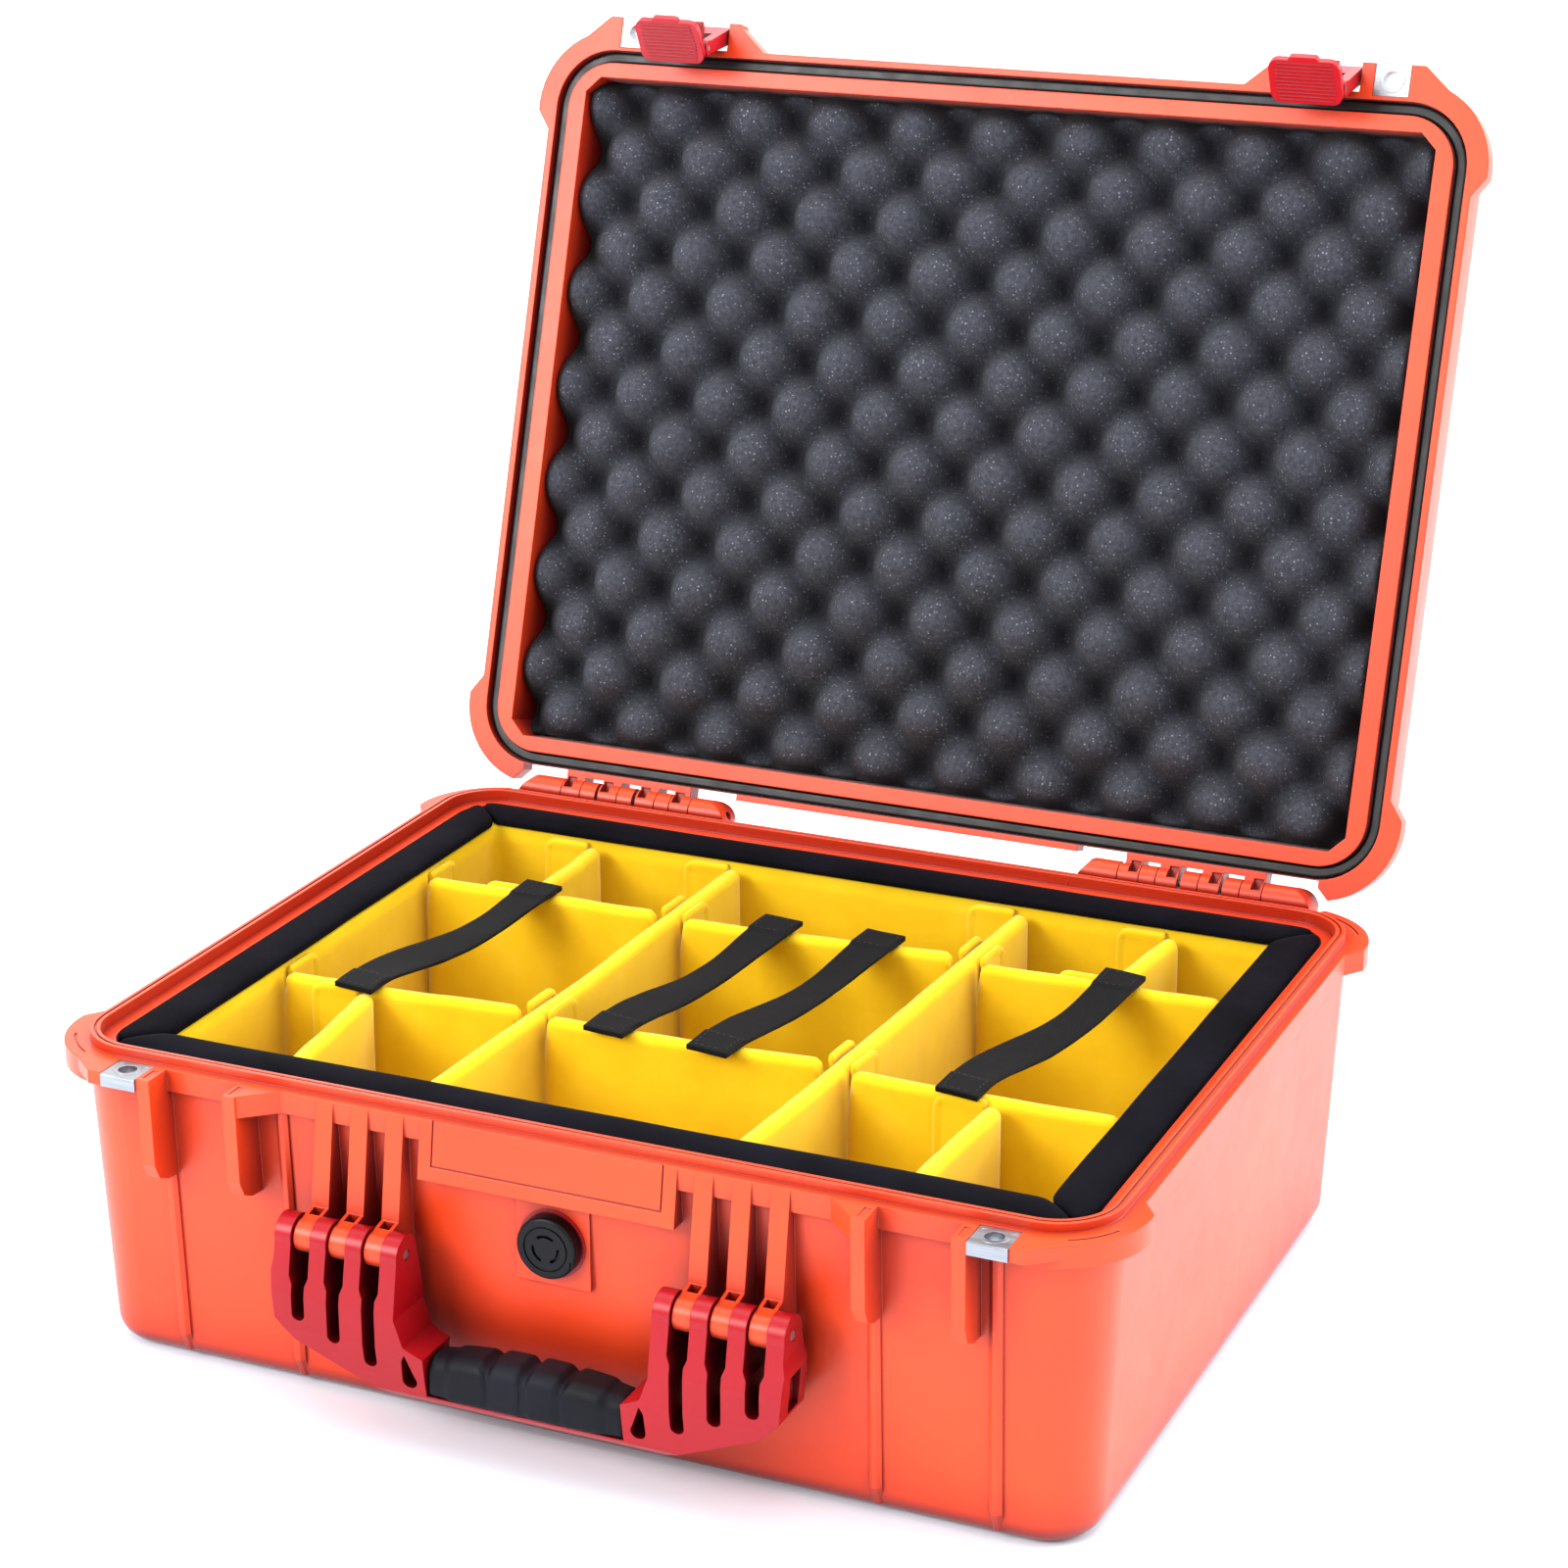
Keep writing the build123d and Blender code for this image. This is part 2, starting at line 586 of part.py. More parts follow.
# black overmoulded grip, bowed towards the hand, with four raised bands
with BuildPart() as handle_grip:
    with BuildSketch(Plane.YZ.offset(-47.2)):
        with Locations((-212.8, 40.6)):
            RectangleRounded(21.0, 19.0, 6.0)
    with BuildSketch(Plane.YZ.offset(0)):
        with Locations((-212.8, 42.4)):
            RectangleRounded(22.6, 22.6, 7.0)
    with BuildSketch(Plane.YZ.offset(47.2)):
        with Locations((-212.8, 40.6)):
            RectangleRounded(21.0, 19.0, 6.0)
    loft()
    for x in (-35.0, -12.0, 12.0, 35.0):
        with BuildSketch(Plane.YZ.offset(x)):
            with Locations((-212.8, 42.4 - abs(x) * 0.028)):
                RectangleRounded(24.6 - abs(x) * 0.03, 23.4 - abs(x) * 0.05, 7.2)
        extrude(amount=7.0, both=True)
    for x in (-23.5, 0.0, 23.5):
        with Locations((x, -212.8, 54.6)):
            Box(8.0, 12.0, 4.4, mode=Mode.SUBTRACT)
    with Locations((0, -212.8, 26.0)):
        Box(110, 40, 10.2, mode=Mode.SUBTRACT)
    with Locations((0, -212.0, 37.5)):
        Box(110, 9.8, 13.2, mode=Mode.SUBTRACT)
out(handle_grip, "handle_grip")

# ---------------------------------------------------------------- latches
PY, PZ = LP1
QY, QZ = PY, PZ - LINK_L
LEVER_AXIS = Axis((0, QY, QZ), (1, 0, 0))
LINK_AXIS = Axis((0, PY, PZ), (1, 0, 0))
for side, sx in (("left", -1), ("right", 1)):
    cx = sx * LATCH_X
    with BuildPart() as latch_pin:
        with BuildSketch(Plane.YZ.offset(cx - 24.0)):
            with Locations((PY, PZ)):
                Circle(2.0)
        extrude(amount=48.0)
    open_lid(latch_pin)
    out(latch_pin, f"latch_pin_{side}")

    # link: two arms joined by a bridge near the lid
    with BuildPart() as link:
        for dx in (-15.6, 15.6):
            with BuildSketch(Plane.YZ.offset(cx + dx)):
                with Locations((PY, PZ), (QY, QZ)):
                    Circle(4.0)
                arm = ((PY - 4.0, PZ), (PY + 4.0, PZ), (QY + 3.4, QZ), (QY - 3.4, QZ))
                Polygon(*arm, align=None)
            extrude(amount=2.6, both=True)
        with BuildSketch(Plane.YZ.offset(cx)):
            with Locations((PY, PZ)):
                Circle(4.0)
            bridge = ((PY - 4.0, PZ), (PY + 3.4, PZ), (PY + 2.6, PZ - 10.5), (PY - 3.4, PZ - 11.5))
            Polygon(*bridge, align=None)
        extrude(amount=18.2, both=True)
        with BuildSketch(Plane.YZ.offset(cx - 30)):
            with Locations((PY, PZ)):
                Circle(2.06)
            with Locations((QY, QZ)):
                Circle(1.56)
        extrude(amount=60, mode=Mode.SUBTRACT)
    link.part = link.part.rotate(LINK_AXIS, LINK_TUCK)
    open_lid(link)
    out(link, f"latch_link_{side}")

    with BuildPart() as lever_pin:
        with BuildSketch(Plane.YZ.offset(cx - 18.0)):
            with Locations((QY, QZ)):
                Circle(1.5)
        extrude(amount=36.0)
    lever_pin.part = lever_pin.part.rotate(LINK_AXIS, LINK_TUCK)
    open_lid(lever_pin)
    out(lever_pin, f"latch_lever_pin_{side}")

    # lever: ribbed finger plate, hub and jaw, drawn folded up against the link
    with BuildPart() as lever:
        with BuildSketch(Plane.XZ.offset(-QY + 4.6)):
            with Locations((cx, QZ + 7.6)):
                RectangleRounded(36.2, 25.0, 5.5)
        extrude(amount=3.2)
        with BuildSketch(Plane.XZ.offset(-QY + 4.6)):
            with Locations((cx, QZ + 18.5)):
                RectangleRounded(15.0, 7.2, 2.0)
        extrude(amount=3.2)
        with BuildSketch(Plane.YZ.offset(cx)):
            with Locations((QY, QZ)):
                Circle(3.9)
            hub = ((QY - 6.0, QZ - 3.9), (QY, QZ - 3.9), (QY + 1.0, QZ + 3.6), (QY - 5.0, QZ + 6.0))
            Polygon(*hub, align=None)
            jaw = (
                (QY + 0.5, QZ - 3.8),
                (QY + 10.2, QZ + 4.6),
                (QY + 11.2, QZ + 8.4),
                (QY + 9.6, QZ + 9.2),
                (QY + 7.2, QZ + 6.2),
                (QY + 1.4, QZ + 3.4),
            )
            Polygon(*jaw, align=None)
        extrude(amount=12.4, both=True)
        # grip ribs across the plate
        for i in range(11):
            with Locations((cx, QY - 7.8, QZ - 2.8 + i * 2.1)):
                Box(30.5 - abs(i - 5) * 0.5, 0.8, 0.9)
        with BuildSketch(Plane.YZ.offset(cx - 30)):
            with Locations((QY, QZ)):
                Circle(1.56)
        extrude(amount=60, mode=Mode.SUBTRACT)
    lever.part = lever.part.rotate(LEVER_AXIS, LEVER_OPEN)
    lever.part = lever.part.rotate(LINK_AXIS, LINK_TUCK)
    open_lid(lever)
    out(lever, f"latch_lever_{side}")

# ---------------------------------------------------------------- vent valve
VY = -(wall_y(VENT_Z) + 1.8)      # face of the pad behind the vent
VENT = Plane(origin=(0, VY - 0.1, VENT_Z), x_dir=(1, 0, 0), z_dir=(0, -1, 0))
with BuildPart() as vent_label:
    with BuildSketch(VENT):
        Circle(15.9)
        Circle(8.1, mode=Mode.SUBTRACT)
    extrude(amount=0.5)
out(vent_label, "vent_label")

with BuildPart() as vent_body:
    with BuildSketch(VENT.offset(0.6)):
        Circle(14.4)
    extrude(amount=6.4)
    fillet(vent_body.edges().group_by(Axis.Y)[0], 1.8)
    with BuildSketch(VENT.offset(-12.0)):
        Circle(7.9)
    extrude(amount=12.8)
    # ring groove, three arc slots and a pointer notch
    with BuildSketch(VENT.offset(6.2)):
        Circle(10.6)
        Circle(9.9, mode=Mode.SUBTRACT)
    extrude(amount=2, mode=Mode.SUBTRACT)
    with BuildSketch(VENT.offset(5.2)):
        Circle(6.6)
        Circle(5.4, mode=Mode.SUBTRACT)
        for a in (30, 150, 270):
            notch = (6.0 * math.cos(math.radians(a)), 6.0 * math.sin(math.radians(a)), 0)
            with Locations(Location(notch, (0, 0, a))):
                Rectangle(3.6, 4.4, mode=Mode.SUBTRACT)
    extrude(amount=3, mode=Mode.SUBTRACT)
    with Locations((12.3, VY - 7.0, VENT_Z - 6.0)):
        Box(1.6, 1.6, 4.0, mode=Mode.SUBTRACT)
out(vent_body, "vent_body")

with BuildPart() as vent_nut:
    with BuildSketch(Plane.XZ.offset(180.2)):
        with Locations((0, VENT_Z)):
            RegularPolygon(12.6, 6)
            Circle(8.0, mode=Mode.SUBTRACT)
    extrude(amount=4.6)
out(vent_nut, "vent_nut")

# ---------------------------------------------------------------- padded divider insert
with BuildPart() as insert_shell:
    with BuildSketch(Plane.XY.offset(6.3)):
        RectangleRounded(2 * 233.0, 2 * 176.8, 16)
    extrude(amount=RIM_Z0 - 0.2 - 6.3)
    with BuildSketch(Plane.XY.offset(11.0)):
        RectangleRounded(2 * 225.0, 2 * 169.0, 9)
    extrude(amount=140, mode=Mode.SUBTRACT)
out(insert_shell, "insert_shell")

with BuildPart() as insert_lining:
    with BuildSketch(Plane.XY.offset(11.2)):
        RectangleRounded(2 * 224.8, 2 * 168.8, 8.8)
    extrude(amount=RIM_Z0 - 0.2 - 11.2)
    with BuildSketch(Plane.XY.offset(DIV_Z0 - 0.3)):
        RectangleRounded(2 * 214.6, 2 * 159.6, 3.0)
    extrude(amount=140, mode=Mode.SUBTRACT)
out(insert_lining, "insert_lining")

with BuildPart() as insert_rim:
    with BuildSketch(Plane.XY.offset(RIM_Z0)):
        RectangleRounded(2 * RIM_X, 2 * RIM_Y, 19)
        Rectangle(2 * RIM_IN_X, 2 * RIM_IN_Y, mode=Mode.SUBTRACT)
    extrude(amount=RIM_Z1 - RIM_Z0)
    fillet(insert_rim.edges().group_by(Axis.Z)[-1].filter_by(lambda e: e.center().Z > 149), 4.6)
out(insert_rim, "insert_rim")

# plan positions of the dividers: node name and the two ends of its centre line
DIVIDERS = (
    ("divider_long_left", (-72.4, 157.7), (-82.4, -157.7)),
    ("divider_long_right", (85.4, 157.7), (69.4, -157.7)),
    ("divider_cross_left_back", (-213.4, 80.0), (-80.6, 83.4)),
    ("divider_cross_left_front", (-213.4, -60.0), (-85.0, -53.4)),
    ("divider_cross_centre_back", (-69.2, 79.4), (75.8, 91.4)),
    ("divider_cross_centre_front", (-73.6, -58.8), (68.8, -52.8)),
    ("divider_cross_right_back", (87.6, 84.2), (213.4, 87.2)),
    ("divider_cross_right_front", (80.4, -59.0), (213.4, -59.0)),
    ("divider_short_left_back", (-153.4, 157.7), (-152.4, 87.6)),
    ("divider_short_left_front", (-163.4, -63.6), (-151.4, -157.7)),
    ("divider_short_right_back", (164.6, 157.7), (156.6, 92.2)),
    ("divider_short_right_front", (155.6, -65.2), (151.6, -157.7)),
)
for part_name, (ax, ay), (bx, by) in DIVIDERS:
    length = math.hypot(bx - ax, by - ay)
    if part_name.startswith("divider_cross"):
        length -= 1.2
    angle = math.degrees(math.atan2(by - ay, bx - ax))
    with BuildPart() as divider:
        with Locations(Location(((ax + bx) / 2, (ay + by) / 2, DIV_Z0), (0, 0, angle))):
            Box(
                length,
                DIV_T,
                DIV_Z1 - DIV_Z0,
                align=(Align.CENTER, Align.CENTER, Align.MIN),
            )
        fillet(divider.edges().group_by(Axis.Z)[-1], 4.0)
    out(divider, part_name)

# webbing straps that lie over the cross dividers
STRAPS = (
    ("strap_left", (-149.0, 90.0), (-169.0, -69.0)),
    ("strap_centre_left", (-18.0, 95.0), (-37.0, -69.0)),
    ("strap_centre_right", (36.0, 97.0), (16.0, -70.0)),
    ("strap_right", (160.0, 96.0), (137.0, -68.0)),
)
for part_name, (ax, ay), (bx, by) in STRAPS:
    angle = math.degrees(math.atan2(by - ay, bx - ax))
    with BuildPart() as strap:
        with Locations(Location(((ax + bx) / 2, (ay + by) / 2, DIV_Z1 + 0.4), (0, 0, angle))):
            Box(
                math.hypot(bx - ax, by - ay),
                22.0,
                2.6,
                align=(Align.CENTER, Align.CENTER, Align.MIN),
            )
    out(strap, part_name)
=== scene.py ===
"""Looks of the hard equipment case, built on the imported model's frame. Metres, CAD axes."""
import json
import math
import random

import bpy
import bmesh
import numpy as np
from mathutils import Matrix, Vector, noise


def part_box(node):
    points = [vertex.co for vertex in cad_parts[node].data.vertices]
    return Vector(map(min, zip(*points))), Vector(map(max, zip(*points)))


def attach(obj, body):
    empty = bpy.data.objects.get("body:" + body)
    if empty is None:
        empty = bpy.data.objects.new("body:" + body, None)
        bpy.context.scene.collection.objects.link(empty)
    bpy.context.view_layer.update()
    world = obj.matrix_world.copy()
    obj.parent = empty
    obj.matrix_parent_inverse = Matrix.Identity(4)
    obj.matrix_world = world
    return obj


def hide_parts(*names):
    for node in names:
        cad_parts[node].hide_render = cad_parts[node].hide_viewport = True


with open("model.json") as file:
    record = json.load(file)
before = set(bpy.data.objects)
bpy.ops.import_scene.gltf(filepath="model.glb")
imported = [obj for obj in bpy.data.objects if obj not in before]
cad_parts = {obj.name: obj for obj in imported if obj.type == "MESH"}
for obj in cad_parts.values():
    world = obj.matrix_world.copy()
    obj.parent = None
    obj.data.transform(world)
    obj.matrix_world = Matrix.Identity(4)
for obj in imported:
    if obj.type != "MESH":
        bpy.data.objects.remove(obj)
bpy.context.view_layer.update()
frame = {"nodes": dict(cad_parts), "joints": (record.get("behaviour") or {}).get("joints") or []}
nodes = frame["nodes"]
joints = {j["name"]: j for j in frame["joints"]}

MM = 0.001
HINGE = Vector(joints["lid_hinge"]["pos_m"])
LID_OPEN = math.radians(joints["lid_hinge"]["range_deg"][1])
TO_OPEN = Matrix.Translation(HINGE) @ Matrix.Rotation(-LID_OPEN, 4, "X") @ Matrix.Translation(-HINGE)


# ---------------------------------------------------------------- small helpers
def srgb(r, g, b):
    """Linear colour of an 8-bit screen colour."""
    def lin(c):
        c /= 255
        return c / 12.92 if c <= 0.04045 else ((c + 0.055) / 1.055) ** 2.4
    return (lin(r), lin(g), lin(b), 1.0)


def wobble(x, y, z, seed=0.0):
    """Smooth repeatable noise, about -1 to 1."""
    return noise.noise(Vector((x + 17.3 * seed, y - 9.1 * seed, z + 4.7 * seed)))


def mesh_object(name, verts, faces, material, smooth=True):
    """A new mesh object from plain lists of points and faces."""
    mesh = bpy.data.meshes.new(name)
    mesh.from_pydata([tuple(v) for v in verts], [], faces)
    mesh.update()
    bm = bmesh.new()
    bm.from_mesh(mesh)
    bmesh.ops.remove_doubles(bm, verts=bm.verts, dist=1e-6)
    bmesh.ops.recalc_face_normals(bm, faces=bm.faces)
    bm.to_mesh(mesh)
    bm.free()
    if smooth:
        mesh.polygons.foreach_set("use_smooth", [True] * len(mesh.polygons))
    obj = bpy.data.objects.new(name, mesh)
    bpy.context.scene.collection.objects.link(obj)
    mesh.materials.append(material)
    return obj


def grid_faces(rows, cols, closed=False, start=0):
    """Faces of a grid of points stored row by row; closed joins the last column to the first."""
    faces = []
    for r in range(rows - 1):
        for c in range(cols if closed else cols - 1):
            d = (c + 1) % cols
            a = start + r * cols
            b = a + cols
            faces.append((a + c, a + d, b + d, b + c))
    return faces


# ---------------------------------------------------------------- materials
class Nodes:
    """A material being built, with short calls for its nodes."""

    def __init__(self, name):
        self.material = bpy.data.materials.new(name)
        self.material.use_nodes = True
        self.tree = self.material.node_tree
        self.shader = self.tree.nodes["Principled BSDF"]
        self.coords = self.tree.nodes.new("ShaderNodeTexCoord").outputs["Object"]
        self.normal = None

    def add(self, kind, inputs=None, **settings):
        node = self.tree.nodes.new("ShaderNode" + kind)
        for key, value in settings.items():
            setattr(node, key, value)
        for key, value in (inputs or {}).items():
            if isinstance(value, bpy.types.NodeSocket):
                self.tree.links.new(value, node.inputs[key])
            else:
                node.inputs[key].default_value = value
        return node

    def link(self, socket, name):
        self.tree.links.new(socket, self.shader.inputs[name])

    def stretched(self, scale):
        return self.add("Mapping", {"Vector": self.coords, "Scale": scale}).outputs["Vector"]

    def voronoi(self, scale):
        return self.add("TexVoronoi", {"Vector": self.coords, "Scale": scale})

    def bands(self, scale, distortion, direction):
        inputs = {"Vector": self.coords, "Scale": scale, "Distortion": distortion, "Detail": 1.0}
        return self.add("TexWave", inputs, bands_direction=direction).outputs["Fac"]

    def product(self, a, b):
        return self.add("Math", {0: a, 1: b}, operation="MULTIPLY").outputs[0]

    def noise(self, scale, detail=2.0, roughness=0.5, vector=None):
        inputs = {"Vector": vector or self.coords, "Scale": scale, "Detail": detail, "Roughness": roughness}
        return self.add("TexNoise", inputs).outputs["Fac"]

    def remap(self, value, low, high, to_low, to_high):
        inputs = {"Value": value, "From Min": low, "From Max": high, "To Min": to_low, "To Max": to_high}
        return self.add("MapRange", inputs).outputs["Result"]

    def bump(self, height, distance, strength=1.0):
        inputs = {"Height": height, "Distance": distance, "Strength": strength}
        if self.normal is not None:
            inputs["Normal"] = self.normal
        self.normal = self.add("Bump", inputs).outputs["Normal"]
        self.link(self.normal, "Normal")

    def round_edges(self, radius):
        """Shade sharp edges as if they had a small radius."""
        self.normal = self.add("Bevel", {"Radius": radius}, samples=6).outputs["Normal"]
        self.link(self.normal, "Normal")

    def paint_recess_shade(self, colour, deep, reach, closed, open_air):
        """Painted shade: deepen a colour towards a shade colour where the surface is closed in by its
        neighbours, found with an ambient-occlusion node.
        """
        shade = self.add("AmbientOcclusion", {"Distance": reach}, samples=6).outputs["AO"]
        open_fac = self.remap(shade, closed, open_air, 0.0, 1.0)
        return self.mix(open_fac, deep, colour)

    def colours(self, fac, stops):
        ramp = self.add("ValToRGB", {"Fac": fac})
        while len(ramp.color_ramp.elements) < len(stops):
            ramp.color_ramp.elements.new(0.5)
        for element, (place, colour) in zip(ramp.color_ramp.elements, stops):
            element.position = place
            element.color = colour
        return ramp.outputs["Color"]

    def mix(self, fac, a, b):
        node = self.add("Mix", data_type="RGBA")
        for key, value in ((0, fac), (6, a), (7, b)):
            if isinstance(value, bpy.types.NodeSocket):
                self.tree.links.new(value, node.inputs[key])
            else:
                node.inputs[key].default_value = value
        return node.outputs[2]

    def set(self, **values):
        names = {
            "roughness": "Roughness", "metallic": "Metallic", "specular": "Specular IOR Level",
            "sheen": "Sheen Weight", "sheen_roughness": "Sheen Roughness", "sheen_tint": "Sheen Tint",
            "anisotropic": "Anisotropic",
        }
        for key, value in values.items():
            self.shader.inputs[names[key]].default_value = value


def moulded_plastic(name, deep, pale, shade, rough, grain, grain_depth, edge, specular):
    """Moulded plastic: softened edges, fine spark-eroded grain, faint flow marks, duller scuffs, and painted
    shade deepening the colour in recesses.
    """
    m = Nodes(name)
    m.round_edges(edge)
    drift = m.noise(7.0, 3.0, 0.55)
    drifting = m.colours(drift, [(0.3, deep), (0.72, pale)])
    # painted shade: the colour deepens towards the shade colour in slots, corners and under overhangs
    m.link(m.paint_recess_shade(drifting, shade, reach=0.034, closed=0.32, open_air=0.90), "Base Color")
    scuff = m.noise(38.0, 5.0, 0.7)
    m.link(m.remap(scuff, 0.35, 0.7, rough - 0.02, rough + 0.04), "Roughness")
    fine = m.noise(grain, 2.0, 0.6)
    m.bump(fine, grain_depth, 0.35)
    flow = m.noise(14.0, 2.0, 0.5, m.stretched((1.0, 1.0, 0.35)))
    m.bump(flow, 0.0002, 0.05)
    m.set(specular=specular)
    return m


orange = moulded_plastic(
    "shell_orange", deep=srgb(228, 60, 16), pale=srgb(236, 72, 22), shade=srgb(120, 8, 4),
    rough=0.34, grain=1500.0, grain_depth=0.00012, edge=0.0008, specular=0.42,
)
orange.set(sheen=0.11, sheen_roughness=0.3)
crimson = moulded_plastic(
    "moulded_crimson", deep=srgb(176, 8, 26), pale=srgb(196, 16, 36), shade=srgb(80, 2, 6),
    rough=0.30, grain=1300.0, grain_depth=0.00006, edge=0.0006, specular=0.4,
)
# the handle's crimson is a darker copy of the latches' crimson on the same plastic: painted shade in its
# colour
shaded_crimson = moulded_plastic(
    "handle_crimson", deep=srgb(152, 4, 18), pale=srgb(172, 8, 26), shade=srgb(66, 2, 5),
    rough=0.32, grain=1300.0, grain_depth=0.00006, edge=0.0006, specular=0.32,
)
vent_plastic = moulded_plastic(
    "vent_black", deep=srgb(8, 8, 10), pale=srgb(16, 16, 20), shade=srgb(2, 2, 3),
    rough=0.40, grain=1600.0, grain_depth=0.00008, edge=0.0005, specular=0.18,
)

# black grip rubber: matt, finely pebbled
rubber = Nodes("grip_rubber")
rubber_drift = rubber.noise(30.0, 4.0)
rubber.link(rubber.colours(rubber_drift, [(0.3, srgb(8, 9, 14)), (0.7, srgb(18, 19, 28))]), "Base Color")
rubber.bump(rubber.voronoi(1400.0).outputs["Distance"], 0.00012, 0.5)
rubber.link(rubber.remap(rubber.noise(60.0, 3.0), 0.3, 0.7, 0.48, 0.64), "Roughness")
rubber.set(specular=0.16)

# gasket rubber: darker and slightly glossier
gasket = Nodes("gasket_rubber")
gasket.round_edges(0.0008)
gasket_drift = gasket.noise(50.0)
gasket.link(gasket.colours(gasket_drift, [(0.3, srgb(12, 12, 13)), (0.7, srgb(24, 24, 26))]), "Base Color")
gasket.bump(gasket.noise(900.0), 0.00006, 0.4)
gasket.link(gasket.remap(gasket.noise(80.0), 0.3, 0.7, 0.38, 0.52), "Roughness")

# brushed steel
steel = Nodes("brushed_steel")
steel.round_edges(0.0003)
brushed = steel.noise(900.0, 2.0, 0.6, steel.stretched((0.05, 1.0, 1.0)))
steel.link(steel.colours(brushed, [(0.25, srgb(146, 149, 155)), (0.75, srgb(170, 173, 178))]), "Base Color")
steel.link(steel.remap(brushed, 0.3, 0.7, 0.32, 0.42), "Roughness")
steel.bump(brushed, 0.00001, 0.1)
steel.set(metallic=1.0, anisotropic=0.4)

# open-cell foam: charcoal, porous, with pale flecks, and painted shade darkening it down in the valleys
foam = Nodes("open_cell_foam")
cells = foam.voronoi(950.0).outputs["Distance"]
foam_base = foam.colours(foam.noise(420.0, 4.0, 0.7), [(0.3, srgb(46, 47, 54)), (0.72, srgb(77, 79, 88))])
fleck_cells = foam.voronoi(520.0)
fleck = foam.remap(fleck_cells.outputs["Distance"], 0.14, 0.32, 1.0, 0.0)
fleck_pick = foam.add("SeparateColor", {"Color": fleck_cells.outputs["Color"]}).outputs["Red"]
fleck_fac = foam.product(fleck, foam.remap(fleck_pick, 0.45, 0.98, 0.0, 0.75))
foam_flecked = foam.mix(fleck_fac, foam_base, srgb(160, 162, 172))
# painted shade: the colour darkens towards near-black down in the valleys between the peaks
foam_shaded = foam.paint_recess_shade(foam_flecked, srgb(16, 16, 20), reach=0.035, closed=0.36, open_air=0.93)
foam.link(foam_shaded, "Base Color")
foam.bump(cells, 0.0007, 0.5)
foam.bump(foam.noise(260.0, 3.0), 0.0008, 0.35)
foam.set(roughness=0.95, specular=0.1, sheen=0.05, sheen_roughness=0.6)

# black tricot: the rim and the outside of the insert
fabric = Nodes("black_tricot")
fabric_drift = fabric.noise(24.0, 4.0, 0.6)
fabric.link(fabric.colours(fabric_drift, [(0.3, srgb(8, 8, 12)), (0.72, srgb(17, 16, 24))]), "Base Color")
fabric.bump(fabric.voronoi(1500.0).outputs["Distance"], 0.00022, 0.5)
fabric.bump(fabric.noise(55.0, 3.0), 0.0012, 0.22)
fabric.set(roughness=0.85, specular=0.03, sheen=0.02, sheen_roughness=0.35)

# yellow brushed loop pile
yellow = Nodes("yellow_pile")
pile = yellow.noise(1900.0, 2.0, 0.7)
brushed_pile = yellow.noise(34.0, 5.0, 0.62)
yellow_stops = [(0.28, srgb(224, 182, 10)), (0.55, srgb(231, 191, 18)), (0.8, srgb(235, 198, 36))]
yellow.link(yellow.colours(brushed_pile, yellow_stops), "Base Color")
yellow.bump(pile, 0.0002, 0.4)
yellow.bump(brushed_pile, 0.0012, 0.25)
yellow.set(roughness=0.85, specular=0.2, sheen=0.6, sheen_roughness=0.34, sheen_tint=srgb(255, 248, 214))

# black webbing: ribs run across the strap, piece's own X is its length
webbing = Nodes("black_webbing")
weave = webbing.product(webbing.bands(330.0, 0.4, "X"), webbing.bands(230.0, 0.3, "Y"))
webbing.link(webbing.colours(weave, [(0.0, srgb(5, 5, 6)), (0.8, srgb(20, 20, 23))]), "Base Color")
webbing.bump(weave, 0.0003, 0.7)
webbing.set(roughness=0.8, specular=0.12, sheen=0.02)

# sewing thread
thread = Nodes("black_thread")
thread_drift = thread.noise(1500.0)
thread.link(thread.colours(thread_drift, [(0.3, srgb(22, 22, 24)), (0.7, srgb(58, 58, 62))]), "Base Color")
thread.bump(thread.noise(2200.0), 0.0001, 0.6)
thread.set(roughness=0.6)

# ---------------------------------------------------------------- CAD nodes that stay
def keep(name, material):
    """Give a CAD node its material; the material itself rounds the edges."""
    obj = nodes[name]
    obj.data.materials.clear()
    obj.data.materials.append(material)


SOFT_NODES = ["handle_grip", "lid_foam", "insert_shell", "insert_lining", "insert_rim"]
SOFT_NODES += [n for n in nodes if n.startswith(("divider_", "strap_"))]
for name in nodes:
    if name in SOFT_NODES:
        continue
    if name in ("base_shell", "lid_shell"):
        keep(name, orange.material)
    elif name == "lid_gasket":
        keep(name, gasket.material)
    elif name in ("vent_body", "vent_nut"):
        keep(name, vent_plastic.material)
    elif name == "handle":
        keep(name, shaded_crimson.material)
    elif name == "vent_label" or name.startswith(("latch_link", "latch_lever_left", "latch_lever_right")):
        keep(name, crimson.material)
    else:
        keep(name, steel.material)

# ---------------------------------------------------------------- lid foam
# millimetres, with the lid drawn shut
FOAM_X, FOAM_Y = 231.3, 176.9            # half sizes
FOAM_TOP, FOAM_BACK = 150.9, 196.8       # height of the peaks and of the flat back
FOAM_STEP, FOAM_SOFT_EDGE = 2.6, 2.0
PEAK_DX, ROW_DY, DEPTH = 46.0, 25.4, 27.0
FOAM_ROW_Y, PEAK_REACH, PEAK_BLEND = 165.1, 22.0, 0.12
RIM_REACH, RIM_RAMP, RIM_RELIEF = 32.0, 8.0, 3.6


